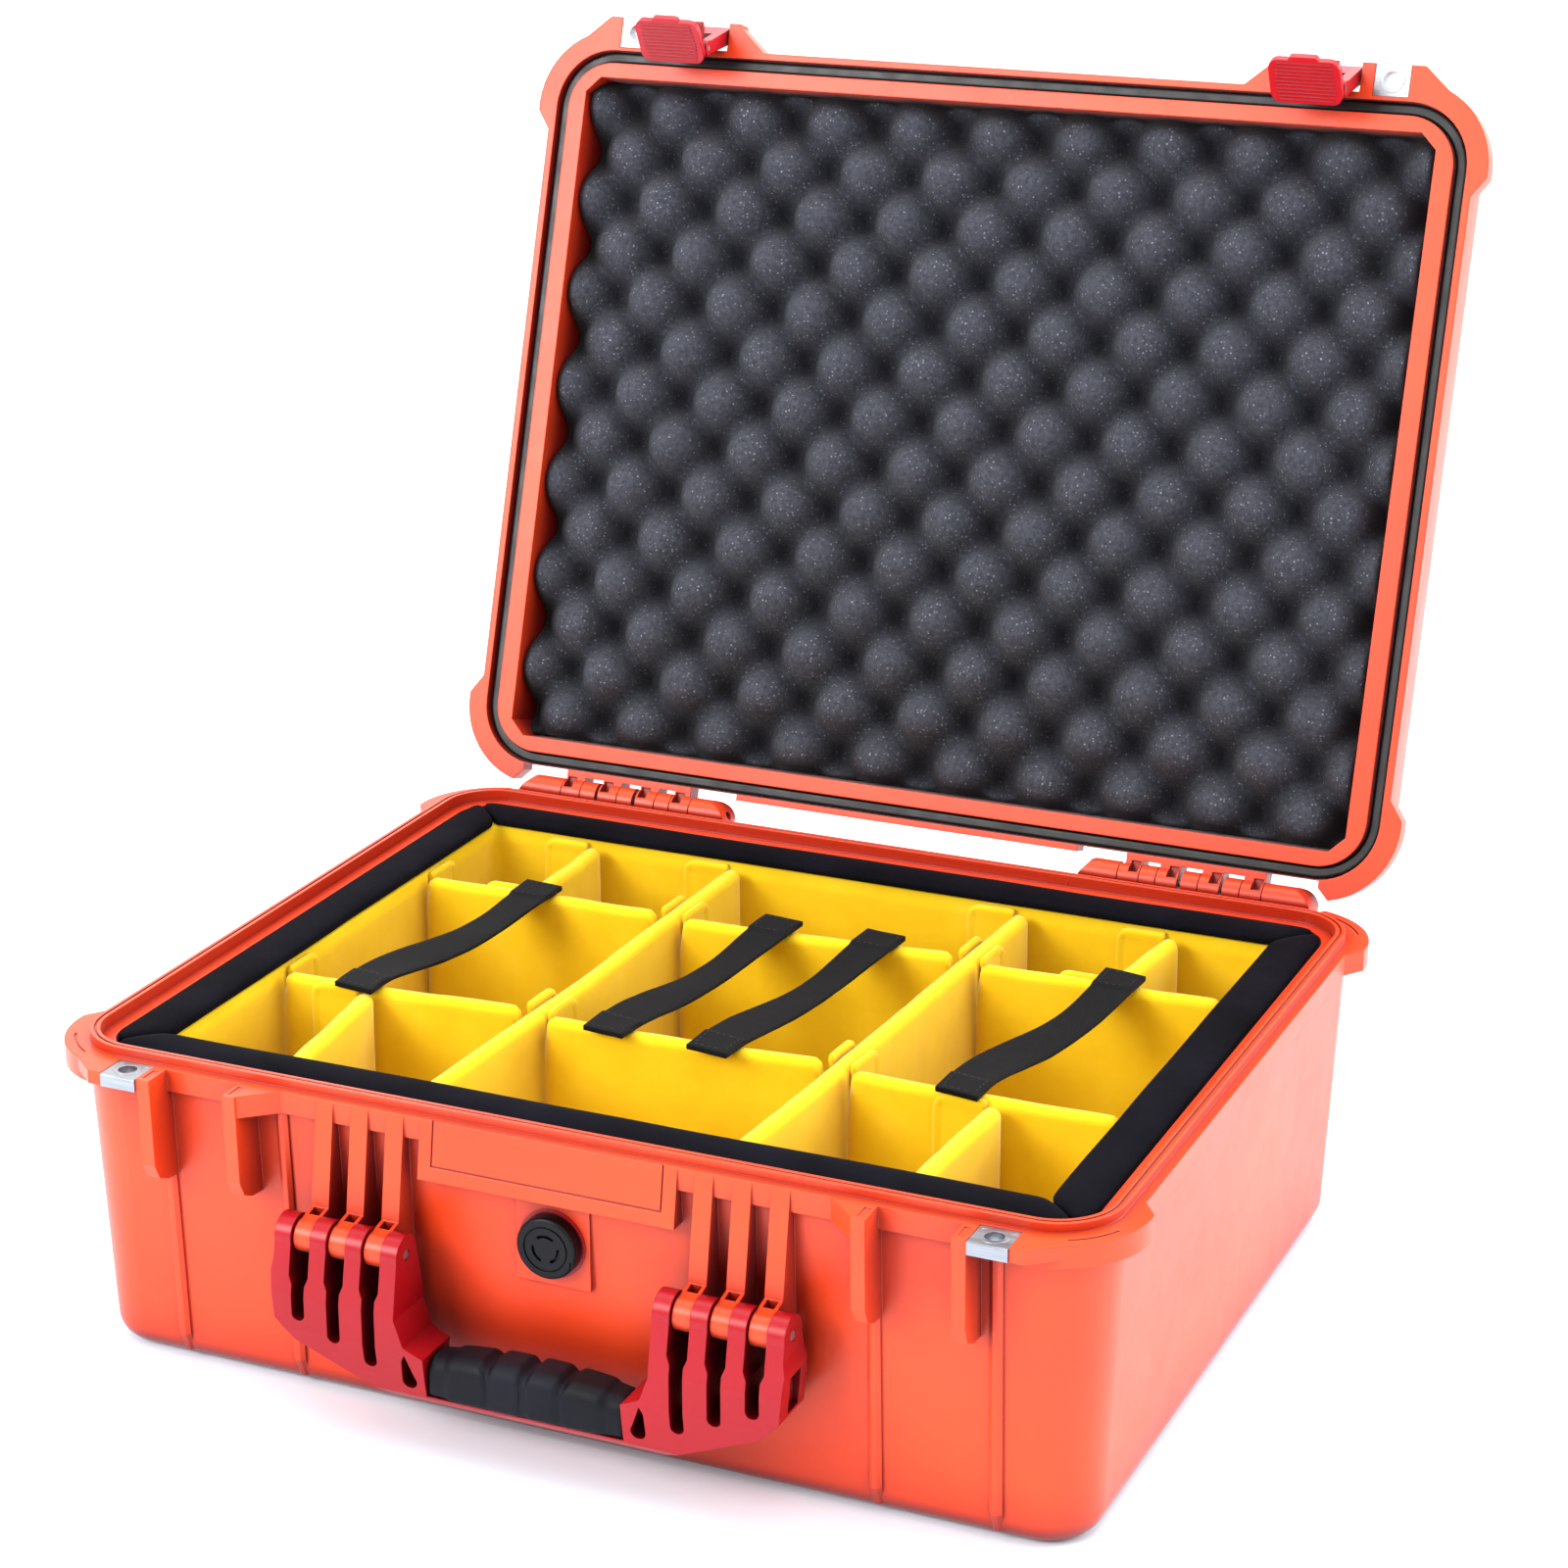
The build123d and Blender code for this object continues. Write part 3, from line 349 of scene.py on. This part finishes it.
def foam_height(x, y):
    """Height of the convoluted face: broad rounded peaks in staggered rows, meeting in narrow valleys."""
    x += 1.3 * wobble(x * 0.02, y * 0.02, 0.3)
    y += 1.3 * wobble(x * 0.02, y * 0.02, 5.3)
    row = (y + FOAM_ROW_Y) / ROW_DY
    crowd = 0.0
    for j in range(math.floor(row) - 1, math.floor(row) + 3):
        dx = (x - (j % 2) * PEAK_DX / 2 + PEAK_DX / 2) % PEAK_DX - PEAK_DX / 2
        for shift in (-PEAK_DX, 0, PEAK_DX):
            dome = 1 - (math.hypot(dx + shift, (row - j) * ROW_DY) / PEAK_REACH) ** 2.1
            crowd += math.exp(dome / PEAK_BLEND)
    s = PEAK_BLEND * math.log(crowd + 1.4)
    # peaks over the padded rim are a little lower, so the shut lid clears it
    inset = min(FOAM_X - abs(x), FOAM_Y - abs(y))
    relief = RIM_RELIEF * min(1.0, max(0.0, (RIM_REACH - inset) / RIM_RAMP))
    depth = DEPTH - relief
    return FOAM_TOP + relief + depth * (1 - min(1.0, s)) + 0.5 * wobble(x * 0.05, y * 0.05, 2.0)


def make_foam():
    nx, ny = int(2 * FOAM_X / FOAM_STEP) + 1, int(2 * FOAM_Y / FOAM_STEP) + 1
    verts = []
    for j in range(ny):
        y = -FOAM_Y + 2 * FOAM_Y * j / (ny - 1)
        for i in range(nx):
            x = -FOAM_X + 2 * FOAM_X * i / (nx - 1)
            edge = min(FOAM_X - abs(x), FOAM_Y - abs(y))
            z = foam_height(x, y)
            if edge < FOAM_SOFT_EDGE:
                z += 1.2 * (1 - edge / FOAM_SOFT_EDGE) ** 2
            verts.append((x, y, min(z, FOAM_BACK - 3)))
    faces = grid_faces(ny, nx)
    ring = list(range(nx)) + [j * nx + nx - 1 for j in range(1, ny)]
    ring += [(ny - 1) * nx + i for i in range(nx - 2, -1, -1)] + [j * nx for j in range(ny - 2, 0, -1)]
    layers = [ring]
    for level in (0.5, 1.0):
        start = len(verts)
        for k in ring:
            x, y, z = verts[k]
            verts.append((x, y, z + (FOAM_BACK - z) * level))
        layers.append(list(range(start, start + len(ring))))
    for a, b in zip(layers, layers[1:]):
        for k in range(len(ring)):
            m = (k + 1) % len(ring)
            faces.append((a[k], a[m], b[m], b[k]))
    faces.append(tuple(reversed(layers[-1])))
    obj = mesh_object("foam_pad", [Vector(v) * MM for v in verts], faces, foam.material)
    obj.data.transform(TO_OPEN)
    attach(obj, "lid")
    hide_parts("lid_foam")


make_foam()


# ---------------------------------------------------------------- padded dividers
DIVIDER_THICK, DIVIDER_TOP, DIVIDER_FOOT, DIVIDER_END = 0.0098, 0.0042, 0.002, 0.004
DIVIDER_STEP = 0.0055


def axis_of(node):
    """Ends of a divider's centre line in plan, from its CAD solid, with its heights."""
    mesh = nodes[node].data
    points = np.array([v.co[:] for v in mesh.vertices], float)
    low = points[points[:, 2] < points[:, 2].min() + 0.001][:, :2]
    centre = low.mean(0)
    _, vectors = np.linalg.eigh(np.cov((low - centre).T))
    along = vectors[:, 1]
    reach = (low - centre) @ along
    mid = centre + along * (reach.max() + reach.min()) / 2
    half = (reach.max() - reach.min()) / 2
    a, b = mid - along * half, mid + along * half
    return Vector((*a, 0)), Vector((*b, 0)), points[:, 2].min(), points[:, 2].max()


def section(width, height, round_top, round_low, n=6):
    """Closed loop of a pad's cross-section: (across, up) pairs, with a rounded top."""
    w, loop = width / 2, []
    for k in range(n + 1):
        a = math.pi * k / n / 2
        loop.append((w - round_low + round_low * math.sin(a), round_low - round_low * math.cos(a)))
    side = 12
    for k in range(1, side):
        loop.append((w, round_low + (height - round_top - round_low) * k / side))
    for k in range(n + 1):
        a = math.pi * k / n / 2
        loop.append((w - round_top + round_top * math.cos(a), height - round_top + round_top * math.sin(a)))
    return loop + [(-u, v) for u, v in reversed(loop)]


def make_divider(node, seed):
    """A board with a crowned, slightly bowed and rippled surface on a divider's centre line."""
    a, b, z0, z1 = axis_of(node)
    if (b - a).x < 0 and abs((b - a).x) > abs((b - a).y):
        a, b = b, a
    length = (b - a).length
    along = (b - a).normalized()
    across = Vector((-along.y, along.x, 0))
    height = z1 - z0
    loop = section(DIVIDER_THICK, height, DIVIDER_TOP, DIVIDER_FOOT)
    cols = max(10, int(length / DIVIDER_STEP))
    verts = []
    for c in range(cols + 1):
        u = c / cols
        end = min(u, 1 - u) * length
        shrink = 1.0 if end > DIVIDER_END else math.sqrt(max(0.03, 1 - (1 - end / DIVIDER_END) ** 2))
        for s, v in loop:
            t = v / height
            crown = 1 + 0.10 * math.sin(math.pi * u) * math.sin(math.pi * t)
            bow = 0.0016 * math.sin(math.pi * u) * wobble(u * 2.1, t * 0.8, seed, seed)
            bow += 0.0007 * wobble(u * 6.0, t * 3.0, seed + 3, seed)
            sag = -0.0012 * math.sin(math.pi * u) * t * (0.5 + wobble(u * 3, 0, seed, 2.2 * seed))
            ripple = 0.00035 * wobble(u * length * 90, v * 60, seed, seed + 8)
            aside = s * shrink * crown + bow + (ripple if s > 0 else -ripple)
            p = a + along * (u * length) + across * aside
            verts.append(Vector((p.x, p.y, z0 + v + sag)))
    n = len(loop)
    faces = grid_faces(cols + 1, n, closed=True)
    faces.append(tuple(reversed(range(n))))
    faces.append(tuple(cols * n + k for k in range(n)))
    obj = mesh_object("pad_" + node, verts, faces, yellow.material)
    sub = obj.modifiers.new("smooth", "SUBSURF")
    sub.levels = sub.render_levels = 1
    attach(obj, "base")
    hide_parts(node)


for seed, node in enumerate(sorted(n for n in nodes if n.startswith("divider_"))):
    make_divider(node, 1.37 * (seed + 1))


# ---------------------------------------------------------------- rubber grip
GRIP_FOOT = 0.03115                      # height of the bar's upper face, under the grip
# raised bands: centre and half width, as shares of half the grip's length
GRIP_BANDS = ((-0.60, 0.20), (-0.20, 0.15), (0.20, 0.15), (0.60, 0.20))
GRIP_NOTCHES = (-0.4, 0.0, 0.4)
GRIP_STATIONS = 150


def make_grip():
    """A rubber sleeve with four raised bands and notches between them."""
    lo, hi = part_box("handle_grip")
    mid, half = (lo.y + hi.y) / 2, hi.x
    verts = []
    for i in range(GRIP_STATIONS + 1):
        x = -half + 2 * half * i / GRIP_STATIONS
        t = x / half
        band = 0.0
        for centre, wide in GRIP_BANDS:
            d = (abs(t - centre) - wide) / 0.03
            band = max(band, 1 / (1 + math.exp(max(-30, min(30, d * 2.2)))))
        bow = 1 - t * t
        end = min(1.0, (1 - abs(t)) * half / 0.0022)
        round_off = math.sqrt(max(0.0, 1 - (1 - end) ** 2))
        width = (0.0196 + 0.0022 * bow + 0.0017 * band) * (0.9 + 0.1 * round_off)
        height = (0.0178 + 0.0034 * bow + 0.0010 * band) * (0.93 + 0.07 * round_off)
        notch = max(0.0, 1 - min(abs(t - c) for c in GRIP_NOTCHES) / 0.085)
        notch = notch * notch * (3 - 2 * notch)
        loop = section(width, height, 0.0074, 0.0024, 8)
        count = len(loop)
        for s, v in loop:
            top = max(0.0, (v / height - 0.62) / 0.38)
            v2 = v - 0.0019 * notch * top
            # the raised bands lean towards the middle at the front, like shallow chevrons
            lean = 0.0
            if abs(t) > 0.05:
                lean = 0.0016 * math.copysign(1, -t) * (1 - abs(2 * v / height - 1)) * band
            verts.append(Vector((x + lean, mid + s, GRIP_FOOT + v2)))
    faces = grid_faces(GRIP_STATIONS + 1, count, closed=True)
    faces.append(tuple(reversed(range(count))))
    faces.append(tuple(GRIP_STATIONS * count + k for k in range(count)))
    obj = mesh_object("grip_sleeve", verts, faces, rubber.material)
    sub = obj.modifiers.new("smooth", "SUBSURF")
    sub.levels = sub.render_levels = 1
    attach(obj, "handle")
    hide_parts("handle_grip")


make_grip()


# ---------------------------------------------------------------- hook-and-loop end tabs
TAB_WIDE, TAB_RADIUS, TAB_FOOT, TAB_RISE = 0.025, 0.007, 0.012, 0.0004
TAB_THICK, TAB_PIPE, TAB_SEAM = 0.0008, 0.0014, 0.0044   # half thickness, piping radius, outside of the seam


def make_flap(name, corner, along, normal, z_top, z_low, wide):
    """A thin piped tab from a divider's end, lying on the face beside it."""
    rows, cols = 44, 15
    height = z_top - z_low
    radius = TAB_RADIUS
    verts = []
    for side in (1, -1):
        for r in range(rows + 1):
            v = r / rows * height
            for k in range(cols + 1):
                s = k / cols * wide
                # round the upper outer corner
                dx, dz = s - (wide - radius), v - (height - radius)
                px, pz = s, v
                if dx > 0 and dz > 0:
                    d = math.hypot(dx, dz)
                    m = max(dx, dz)
                    px = wide - radius + dx * m / d
                    pz = height - radius + dz * m / d
                edge = min(wide - px, height - pz)
                if dx > 0 and dz > 0:
                    edge = radius - math.hypot(px - wide + radius, pz - height + radius)
                pipe = 0.0
                if edge < 2 * TAB_PIPE:
                    pipe = math.sqrt(max(0.0, 1 - ((edge - TAB_PIPE) / TAB_PIPE) ** 2))
                body = TAB_THICK + 0.0010 * pipe
                seam = -0.0005 if 2 * TAB_PIPE < edge < TAB_SEAM else 0.0
                ripple = 0.0005 * wobble(px * 60, pz * 40, corner.x * 9, corner.y * 7)
                out = 0.0013 + side * (body + seam) + ripple
                p = corner + along * px + normal * out
                verts.append(Vector((p.x, p.y, z_low + pz)))
    n = cols + 1
    o = (rows + 1) * n
    faces = grid_faces(rows + 1, n) + [tuple(reversed(f)) for f in grid_faces(rows + 1, n, start=o)]
    for r in range(rows):
        for k in (0, cols):
            p = r * n + k
            faces.append((p, p + n, p + n + o, p + o))
    for k in range(cols):
        for r in (0, rows):
            p = r * n + k
            faces.append((p, p + 1, p + 1 + o, p + o))
    obj = mesh_object(name, verts, faces, yellow.material)
    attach(obj, "base")


def make_flaps():
    """Tabs at both ends of every divider, each on the wall or divider that the end meets."""
    plans = {n: axis_of(n) for n in nodes if n.startswith("divider_")}
    for name, (a, b, z0, z1) in sorted(plans.items()):
        for tag, end, start in (("a", a, b), ("b", b, a)):
            out = (end - start).normalized()
            wall = None
            for other, (p, q, _, _) in plans.items():
                if other == name:
                    continue
                line = (q - p).normalized()
                reach = (end - p).dot(line)
                gap = (end - p - line * reach).length
                if gap < 0.0085 and 0 < reach < (q - p).length:
                    wall = line
            if wall is None:
                wall = Vector((0, 1, 0)) if abs(out.x) > abs(out.y) else Vector((1, 0, 0))
            normal = Vector((wall.y, -wall.x, 0))
            if normal.dot(out) > 0:
                normal = -normal
            # tabs lie to the left of the lengthwise dividers and behind the cross ones
            if abs(wall.x) > abs(wall.y):
                side = wall if wall.x < 0 else -wall
            else:
                side = wall if wall.y > 0 else -wall
            corner = end + out * 0.0008 + side * 0.0052
            make_flap(f"tab_{name}_{tag}", corner, side, normal, z1 + TAB_RISE, z0 + TAB_FOOT, TAB_WIDE)


make_flaps()


# ---------------------------------------------------------------- padded rim
RIM_WIDTH, RIM_CORNER = 0.0224, 0.019
RIM_GAP, RIM_FOOT, RIM_CROWN = 0.0004, 0.005, 0.0011     # in from the solid, up from its foot, over its top
RIM_POINTS, RIM_STEP, RIM_END = 28, 0.0065, 0.006


def make_rim():
    """Four rounded pads with mitred ends, along the sides of the insert."""
    lo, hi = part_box("insert_rim")
    x1, y1, z0, z1 = hi.x - RIM_GAP, hi.y - RIM_GAP, lo.z + RIM_FOOT, hi.z + RIM_CROWN
    width, corner = RIM_WIDTH, RIM_CORNER
    loop = []
    for k in range(RIM_POINTS):
        a = 2 * math.pi * (k + 0.5) / RIM_POINTS
        c, u = math.cos(a), math.sin(a)
        power = 0.9 if u > 0 else 0.35
        spread = 0.9 if u > 0 else 0.6
        across = math.copysign(abs(c) ** spread, c) * width / 2
        loop.append((across, (z1 - z0) / 2 * (1 + math.copysign(abs(u) ** power, u))))
    for index, (half_long, half_far) in enumerate(((x1, y1), (y1, x1), (x1, y1), (y1, x1))):
        rot = Matrix.Rotation(math.radians(90 * index), 4, "Z")
        centre_y = half_far - width / 2
        cols = int(2 * half_long / RIM_STEP)
        verts = []
        for c in range(cols + 1):
            u = c / cols
            for s, v in loop:
                # the pad ends on the mitre line, so its length depends on where it is across
                reach = half_long - width / 2 + s
                x = -reach + 2 * reach * u
                end = min(u, 1 - u) * 2 * reach
                pull = 1.0
                if end <= RIM_END:
                    pull = 0.90 + 0.10 * math.sqrt(max(0.0, 1 - (1 - end / RIM_END) ** 2))
                puff = 0.0005 * wobble(x * 22, s * 40, index, 3.1)
                lift = 0.0006 * wobble(x * 11, s * 10, index + 6, 1.7)
                y = centre_y + s + puff
                z = z0 + v * pull + lift * (v / (z1 - z0))
                verts.append(Vector((x, y, z)))
        cx, cy = half_long - corner, half_far - corner
        for p in verts:
            dx, dy = abs(p.x) - cx, p.y - cy
            if dx > 0 and dy > 0:
                r = math.hypot(dx, dy)
                if r > corner:
                    p.x = math.copysign(cx + dx * corner / r, p.x)
                    p.y = cy + dy * corner / r
        n = len(loop)
        faces = grid_faces(cols + 1, n, closed=True)
        faces.append(tuple(reversed(range(n))))
        faces.append(tuple(cols * n + k for k in range(n)))
        obj = mesh_object(f"rim_pad_{index}", [rot @ v for v in verts], faces, fabric.material)
        sub = obj.modifiers.new("smooth", "SUBSURF")
        sub.levels = sub.render_levels = 1
        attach(obj, "base")
        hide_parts("insert_rim")


make_rim()


# ---------------------------------------------------------------- insert walls
def tray(name, node, outer, inner, z0, floor, z1, material, folds):
    """An open padded box: rounded outside, folded inside walls and floor."""
    def ring(half_x, half_y, radius, z, amount, seed):
        points = []
        n = 7
        for sx, sy, start in ((1, 1, 0), (-1, 1, 90), (-1, -1, 180), (1, -1, 270)):
            for k in range(n):
                a = math.radians(start + 90 * k / (n - 1))
                x = sx * (half_x - radius) + radius * math.cos(a)
                points.append((x, sy * (half_y - radius) + radius * math.sin(a)))
        dense = []
        for k, (ax, ay) in enumerate(points):
            bx, by = points[(k + 1) % len(points)]
            steps = 60 if math.hypot(bx - ax, by - ay) > 0.05 else 1
            for m in range(steps):
                dense.append((ax + (bx - ax) * m / steps, ay + (by - ay) * m / steps))
        made = []
        for x, y in dense:
            w = amount * wobble(x * 26, y * 26, z * 14, seed)
            made.append(Vector((x * (1 + w / half_x), y * (1 + w / half_y), z)))
        return made

    rings = [
        ring(outer[0], outer[1], outer[2], z0, 0, 1),
        ring(outer[0], outer[1], outer[2], (z0 + z1) / 2, 0, 1),
        ring(outer[0], outer[1], outer[2], z1, 0, 1),
    ]
    levels = 14
    for k in range(levels + 1):
        t = k / levels
        z = z1 + (floor - z1) * t
        rings.append(ring(inner[0], inner[1], inner[2], z, folds * (1 - 0.7 * t), 2))
    n = len(rings[0])
    verts = [p for r in rings for p in r]
    faces = grid_faces(len(rings), n, closed=True)
    faces.append(tuple(reversed(range(n))))
    faces.append(tuple((len(rings) - 1) * n + k for k in range(n)))
    obj = mesh_object(name, verts, faces, material)
    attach(obj, "base")
    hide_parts(node)


# outer and inner are half sizes with a corner radius
lo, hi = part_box("insert_lining")
tray(
    "insert_liner", "insert_lining", outer=(hi.x, hi.y, 0.0088), inner=(0.2142, 0.1592, 0.004),
    z0=lo.z, floor=0.0160, z1=hi.z + 0.005, material=yellow.material, folds=0.0011,
)
lo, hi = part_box("insert_shell")
tray(
    "insert_outer", "insert_shell", outer=(hi.x, hi.y, 0.016), inner=(0.2252, 0.1692, 0.009),
    z0=lo.z, floor=0.0110, z1=hi.z, material=fabric.material, folds=0.0,
)


# ---------------------------------------------------------------- webbing straps
STRAP_WIDTH, STRAP_THICK, STRAP_END = 0.0215, 0.0016, 0.019
# one dash of thread: share of its length, side, share of its height
DASH_POINTS = (
    (0, 0, -0.0002), (0.2, 1, 0.6), (0.2, -1, 0.6), (0.5, 1, 0.2), (0.5, 0, 1.0), (0.5, -1, 0.2),
    (0.8, 1, 0.6), (0.8, -1, 0.6), (1, 0, -0.0002),
)
DASH_FACES = (
    (0, 1, 4, 2), (1, 3, 4), (2, 4, 5), (3, 6, 4), (5, 4, 7), (6, 8, 7, 4), (0, 2, 5, 7, 8, 6, 3, 1),
)


def strap_point(x, s, side, length, seed, lean):
    """A point on a strap's upper (side 1) or lower (side -1) face, x along it and s across it."""
    u = x / length + 0.5
    droop = -0.0045 * math.sin(math.pi * min(1, max(0, (u - 0.12) / 0.76))) ** 1.4
    curve = 0.0034 * math.sin(2 * math.pi * u) * (0.7 + 0.3 * lean)
    twist = 0.16 * math.sin(2 * math.pi * u + 0.6 * lean) * math.sin(math.pi * u)
    z = droop + s * twist + (side + 1) * STRAP_THICK / 2
    # the ends are folded under and sewn, so they are thicker
    fold = 0.0010 if min(u, 1 - u) * length < STRAP_END and side > 0 else 0.0
    return Vector((x, curve + s, z + fold + 0.0003 * wobble(x * 60, s * 60, seed, seed)))


def make_stitches(name, length, seed, lean):
    """Rows of thread dashes round both folded ends of a strap."""
    dash, gap, wide, high = 0.0024, 0.0011, 0.00045, 0.00035
    half = STRAP_WIDTH / 2 - 0.0026
    verts, faces = [], []

    def run(x0, s0, x1, s1):
        span = math.hypot(x1 - x0, s1 - s0)
        ax, ay = (x1 - x0) / span, (s1 - s0) / span
        for k in range(int(span / (dash + gap))):
            start = len(verts)
            for d, w, h in DASH_POINTS:
                along = k * (dash + gap) + d * dash
                p = strap_point(x0 + ax * along, s0 + ay * along, 1, length, seed, lean)
                verts.append(p + Vector((-ay * wide * w / 2, ax * wide * w / 2, high * h)))
            for f in DASH_FACES:
                faces.append(tuple(start + i for i in f))

    for sign in (-1, 1):
        near, far = sign * (length / 2 - 0.0028), sign * (length / 2 - STRAP_END + 0.0012)
        run(near, -half, near, half)
        run(far, -half, far, half)
        run(min(near, far), -half, max(near, far), -half)
        run(min(near, far), half, max(near, far), half)
    return mesh_object(name, verts, faces, thread.material)


def make_strap(node, seed):
    """A strap that droops and twists between the two cross dividers it bridges, with its stitches."""
    a, b, z0, _ = axis_of(node)
    if b.y > a.y:
        a, b = b, a
    length = (b - a).length
    lean = random.Random(int(seed * 100)).uniform(-1, 1)
    cols, across = 64, 9
    verts = []
    for side in (1, -1):
        for c in range(cols + 1):
            for k in range(across):
                s = (k / (across - 1) - 0.5) * STRAP_WIDTH
                verts.append(strap_point((c / cols - 0.5) * length, s, side, length, seed, lean))
    under = (cols + 1) * across
    faces = grid_faces(cols + 1, across)
    faces += [tuple(reversed(f)) for f in grid_faces(cols + 1, across, start=under)]
    for c in range(cols):
        for k in (0, across - 1):
            p, q = c * across + k, (c + 1) * across + k
            faces.append((p, q, q + under, p + under))
    for c in (0, cols):
        for k in range(across - 1):
            p = c * across + k
            faces.append((p, p + 1, p + 1 + under, p + under))
    obj = mesh_object("webbing_" + node, verts, faces, webbing.material)
    stitches = make_stitches("stitches_" + node, length, seed, lean)
    middle = (a + b) / 2 + Vector((0, 0, z0 + 0.0002))
    place = Matrix.Translation(middle) @ Matrix.Rotation(math.atan2(b.y - a.y, b.x - a.x), 4, "Z")
    for piece in (obj, stitches):
        piece.matrix_world = place
        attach(piece, "base")
    edge = obj.modifiers.new("edge", "BEVEL")
    edge.width, edge.segments, edge.limit_method = 0.0004, 2, "ANGLE"
    edge.angle_limit = math.radians(50)
    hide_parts(node)


for seed, node in enumerate(sorted(n for n in nodes if n.startswith("strap_"))):
    make_strap(node, 0.9 * (seed + 1))

# ---------------------------------------------------------------- floor, lights, camera
paper = Nodes("studio_paper")
paper_stops = [(0.3, srgb(232, 240, 250)), (0.7, srgb(238, 245, 253))]
paper.link(paper.colours(paper.noise(3.0, 3.0), paper_stops), "Base Color")
paper.bump(paper.noise(400.0), 0.0002, 0.1)
paper.set(roughness=0.75, specular=0.15)
corners = [(-6, -6, 0), (6, -6, 0), (6, 6, 0), (-6, 6, 0)]
floor = mesh_object("studio_floor", corners, [(0, 1, 2, 3)], paper.material, smooth=False)

# surroundings: bright behind, above and to the right of the case, dim on the camera's side
world = bpy.data.worlds.new("studio")
bpy.context.scene.world = world
world.use_nodes = True
sky = world.node_tree
facing = sky.nodes.new("ShaderNodeVectorMath")
facing.operation = "DOT_PRODUCT"
facing.inputs[1].default_value = Vector((0.30, 0.72, 0.62)).normalized()
sky.links.new(sky.nodes.new("ShaderNodeTexCoord").outputs["Generated"], facing.inputs[0])
strength = sky.nodes.new("ShaderNodeMapRange")
for key, value in (("From Min", -0.7), ("From Max", 0.85), ("To Min", 0.18), ("To Max", 2.3)):
    strength.inputs[key].default_value = value
sky.links.new(facing.outputs["Value"], strength.inputs["Value"])
sky.links.new(strength.outputs["Result"], sky.nodes["Background"].inputs["Strength"])
sky.nodes["Background"].inputs["Color"].default_value = (1.0, 1.0, 1.0, 1.0)


def softbox(name, place, target, size, power):
    """A soft rectangular lamp at a place, facing a target."""
    light = bpy.data.lights.new(name, "AREA")
    light.shape = "RECTANGLE"
    light.size, light.size_y = size
    light.energy = power
    obj = bpy.data.objects.new(name, light)
    bpy.context.scene.collection.objects.link(obj)
    obj.location = place
    obj.rotation_mode = "QUATERNION"
    obj.rotation_quaternion = (Vector(target) - Vector(place)).to_track_quat("-Z", "Y")


softbox("top_light", (0.1, 0.3, 2.2), (0, 0, 0.2), (2.2, 1.8), 22.0)
softbox("back_right_light", (2.0, 1.2, 0.7), (0.1, 0, 0.12), (1.6, 1.2), 34.0)
softbox("front_left_light", (-1.2, -1.9, 1.35), (0, 0.1, 0.3), (1.4, 1.1), 62.0)

# the camera looks from the front right, 24 degrees round and 19 degrees down
AZ, EL = math.radians(23.88), math.radians(19.30)
camera_data = bpy.data.cameras.new("camera")
camera_data.sensor_width = 36.0
camera_data.lens = 85.1
camera_data.clip_end = 50.0
camera = bpy.data.objects.new("camera", camera_data)
bpy.context.scene.collection.objects.link(camera)
camera.location = (0.6753, -1.4716, 0.8160)
camera.rotation_mode = "QUATERNION"
look = Vector((-math.sin(AZ) * math.cos(EL), math.cos(AZ) * math.cos(EL), -math.sin(EL)))
camera.rotation_quaternion = look.to_track_quat("-Z", "Y")
bpy.context.scene.camera = camera
bpy.context.scene.view_settings.view_transform = "Standard"
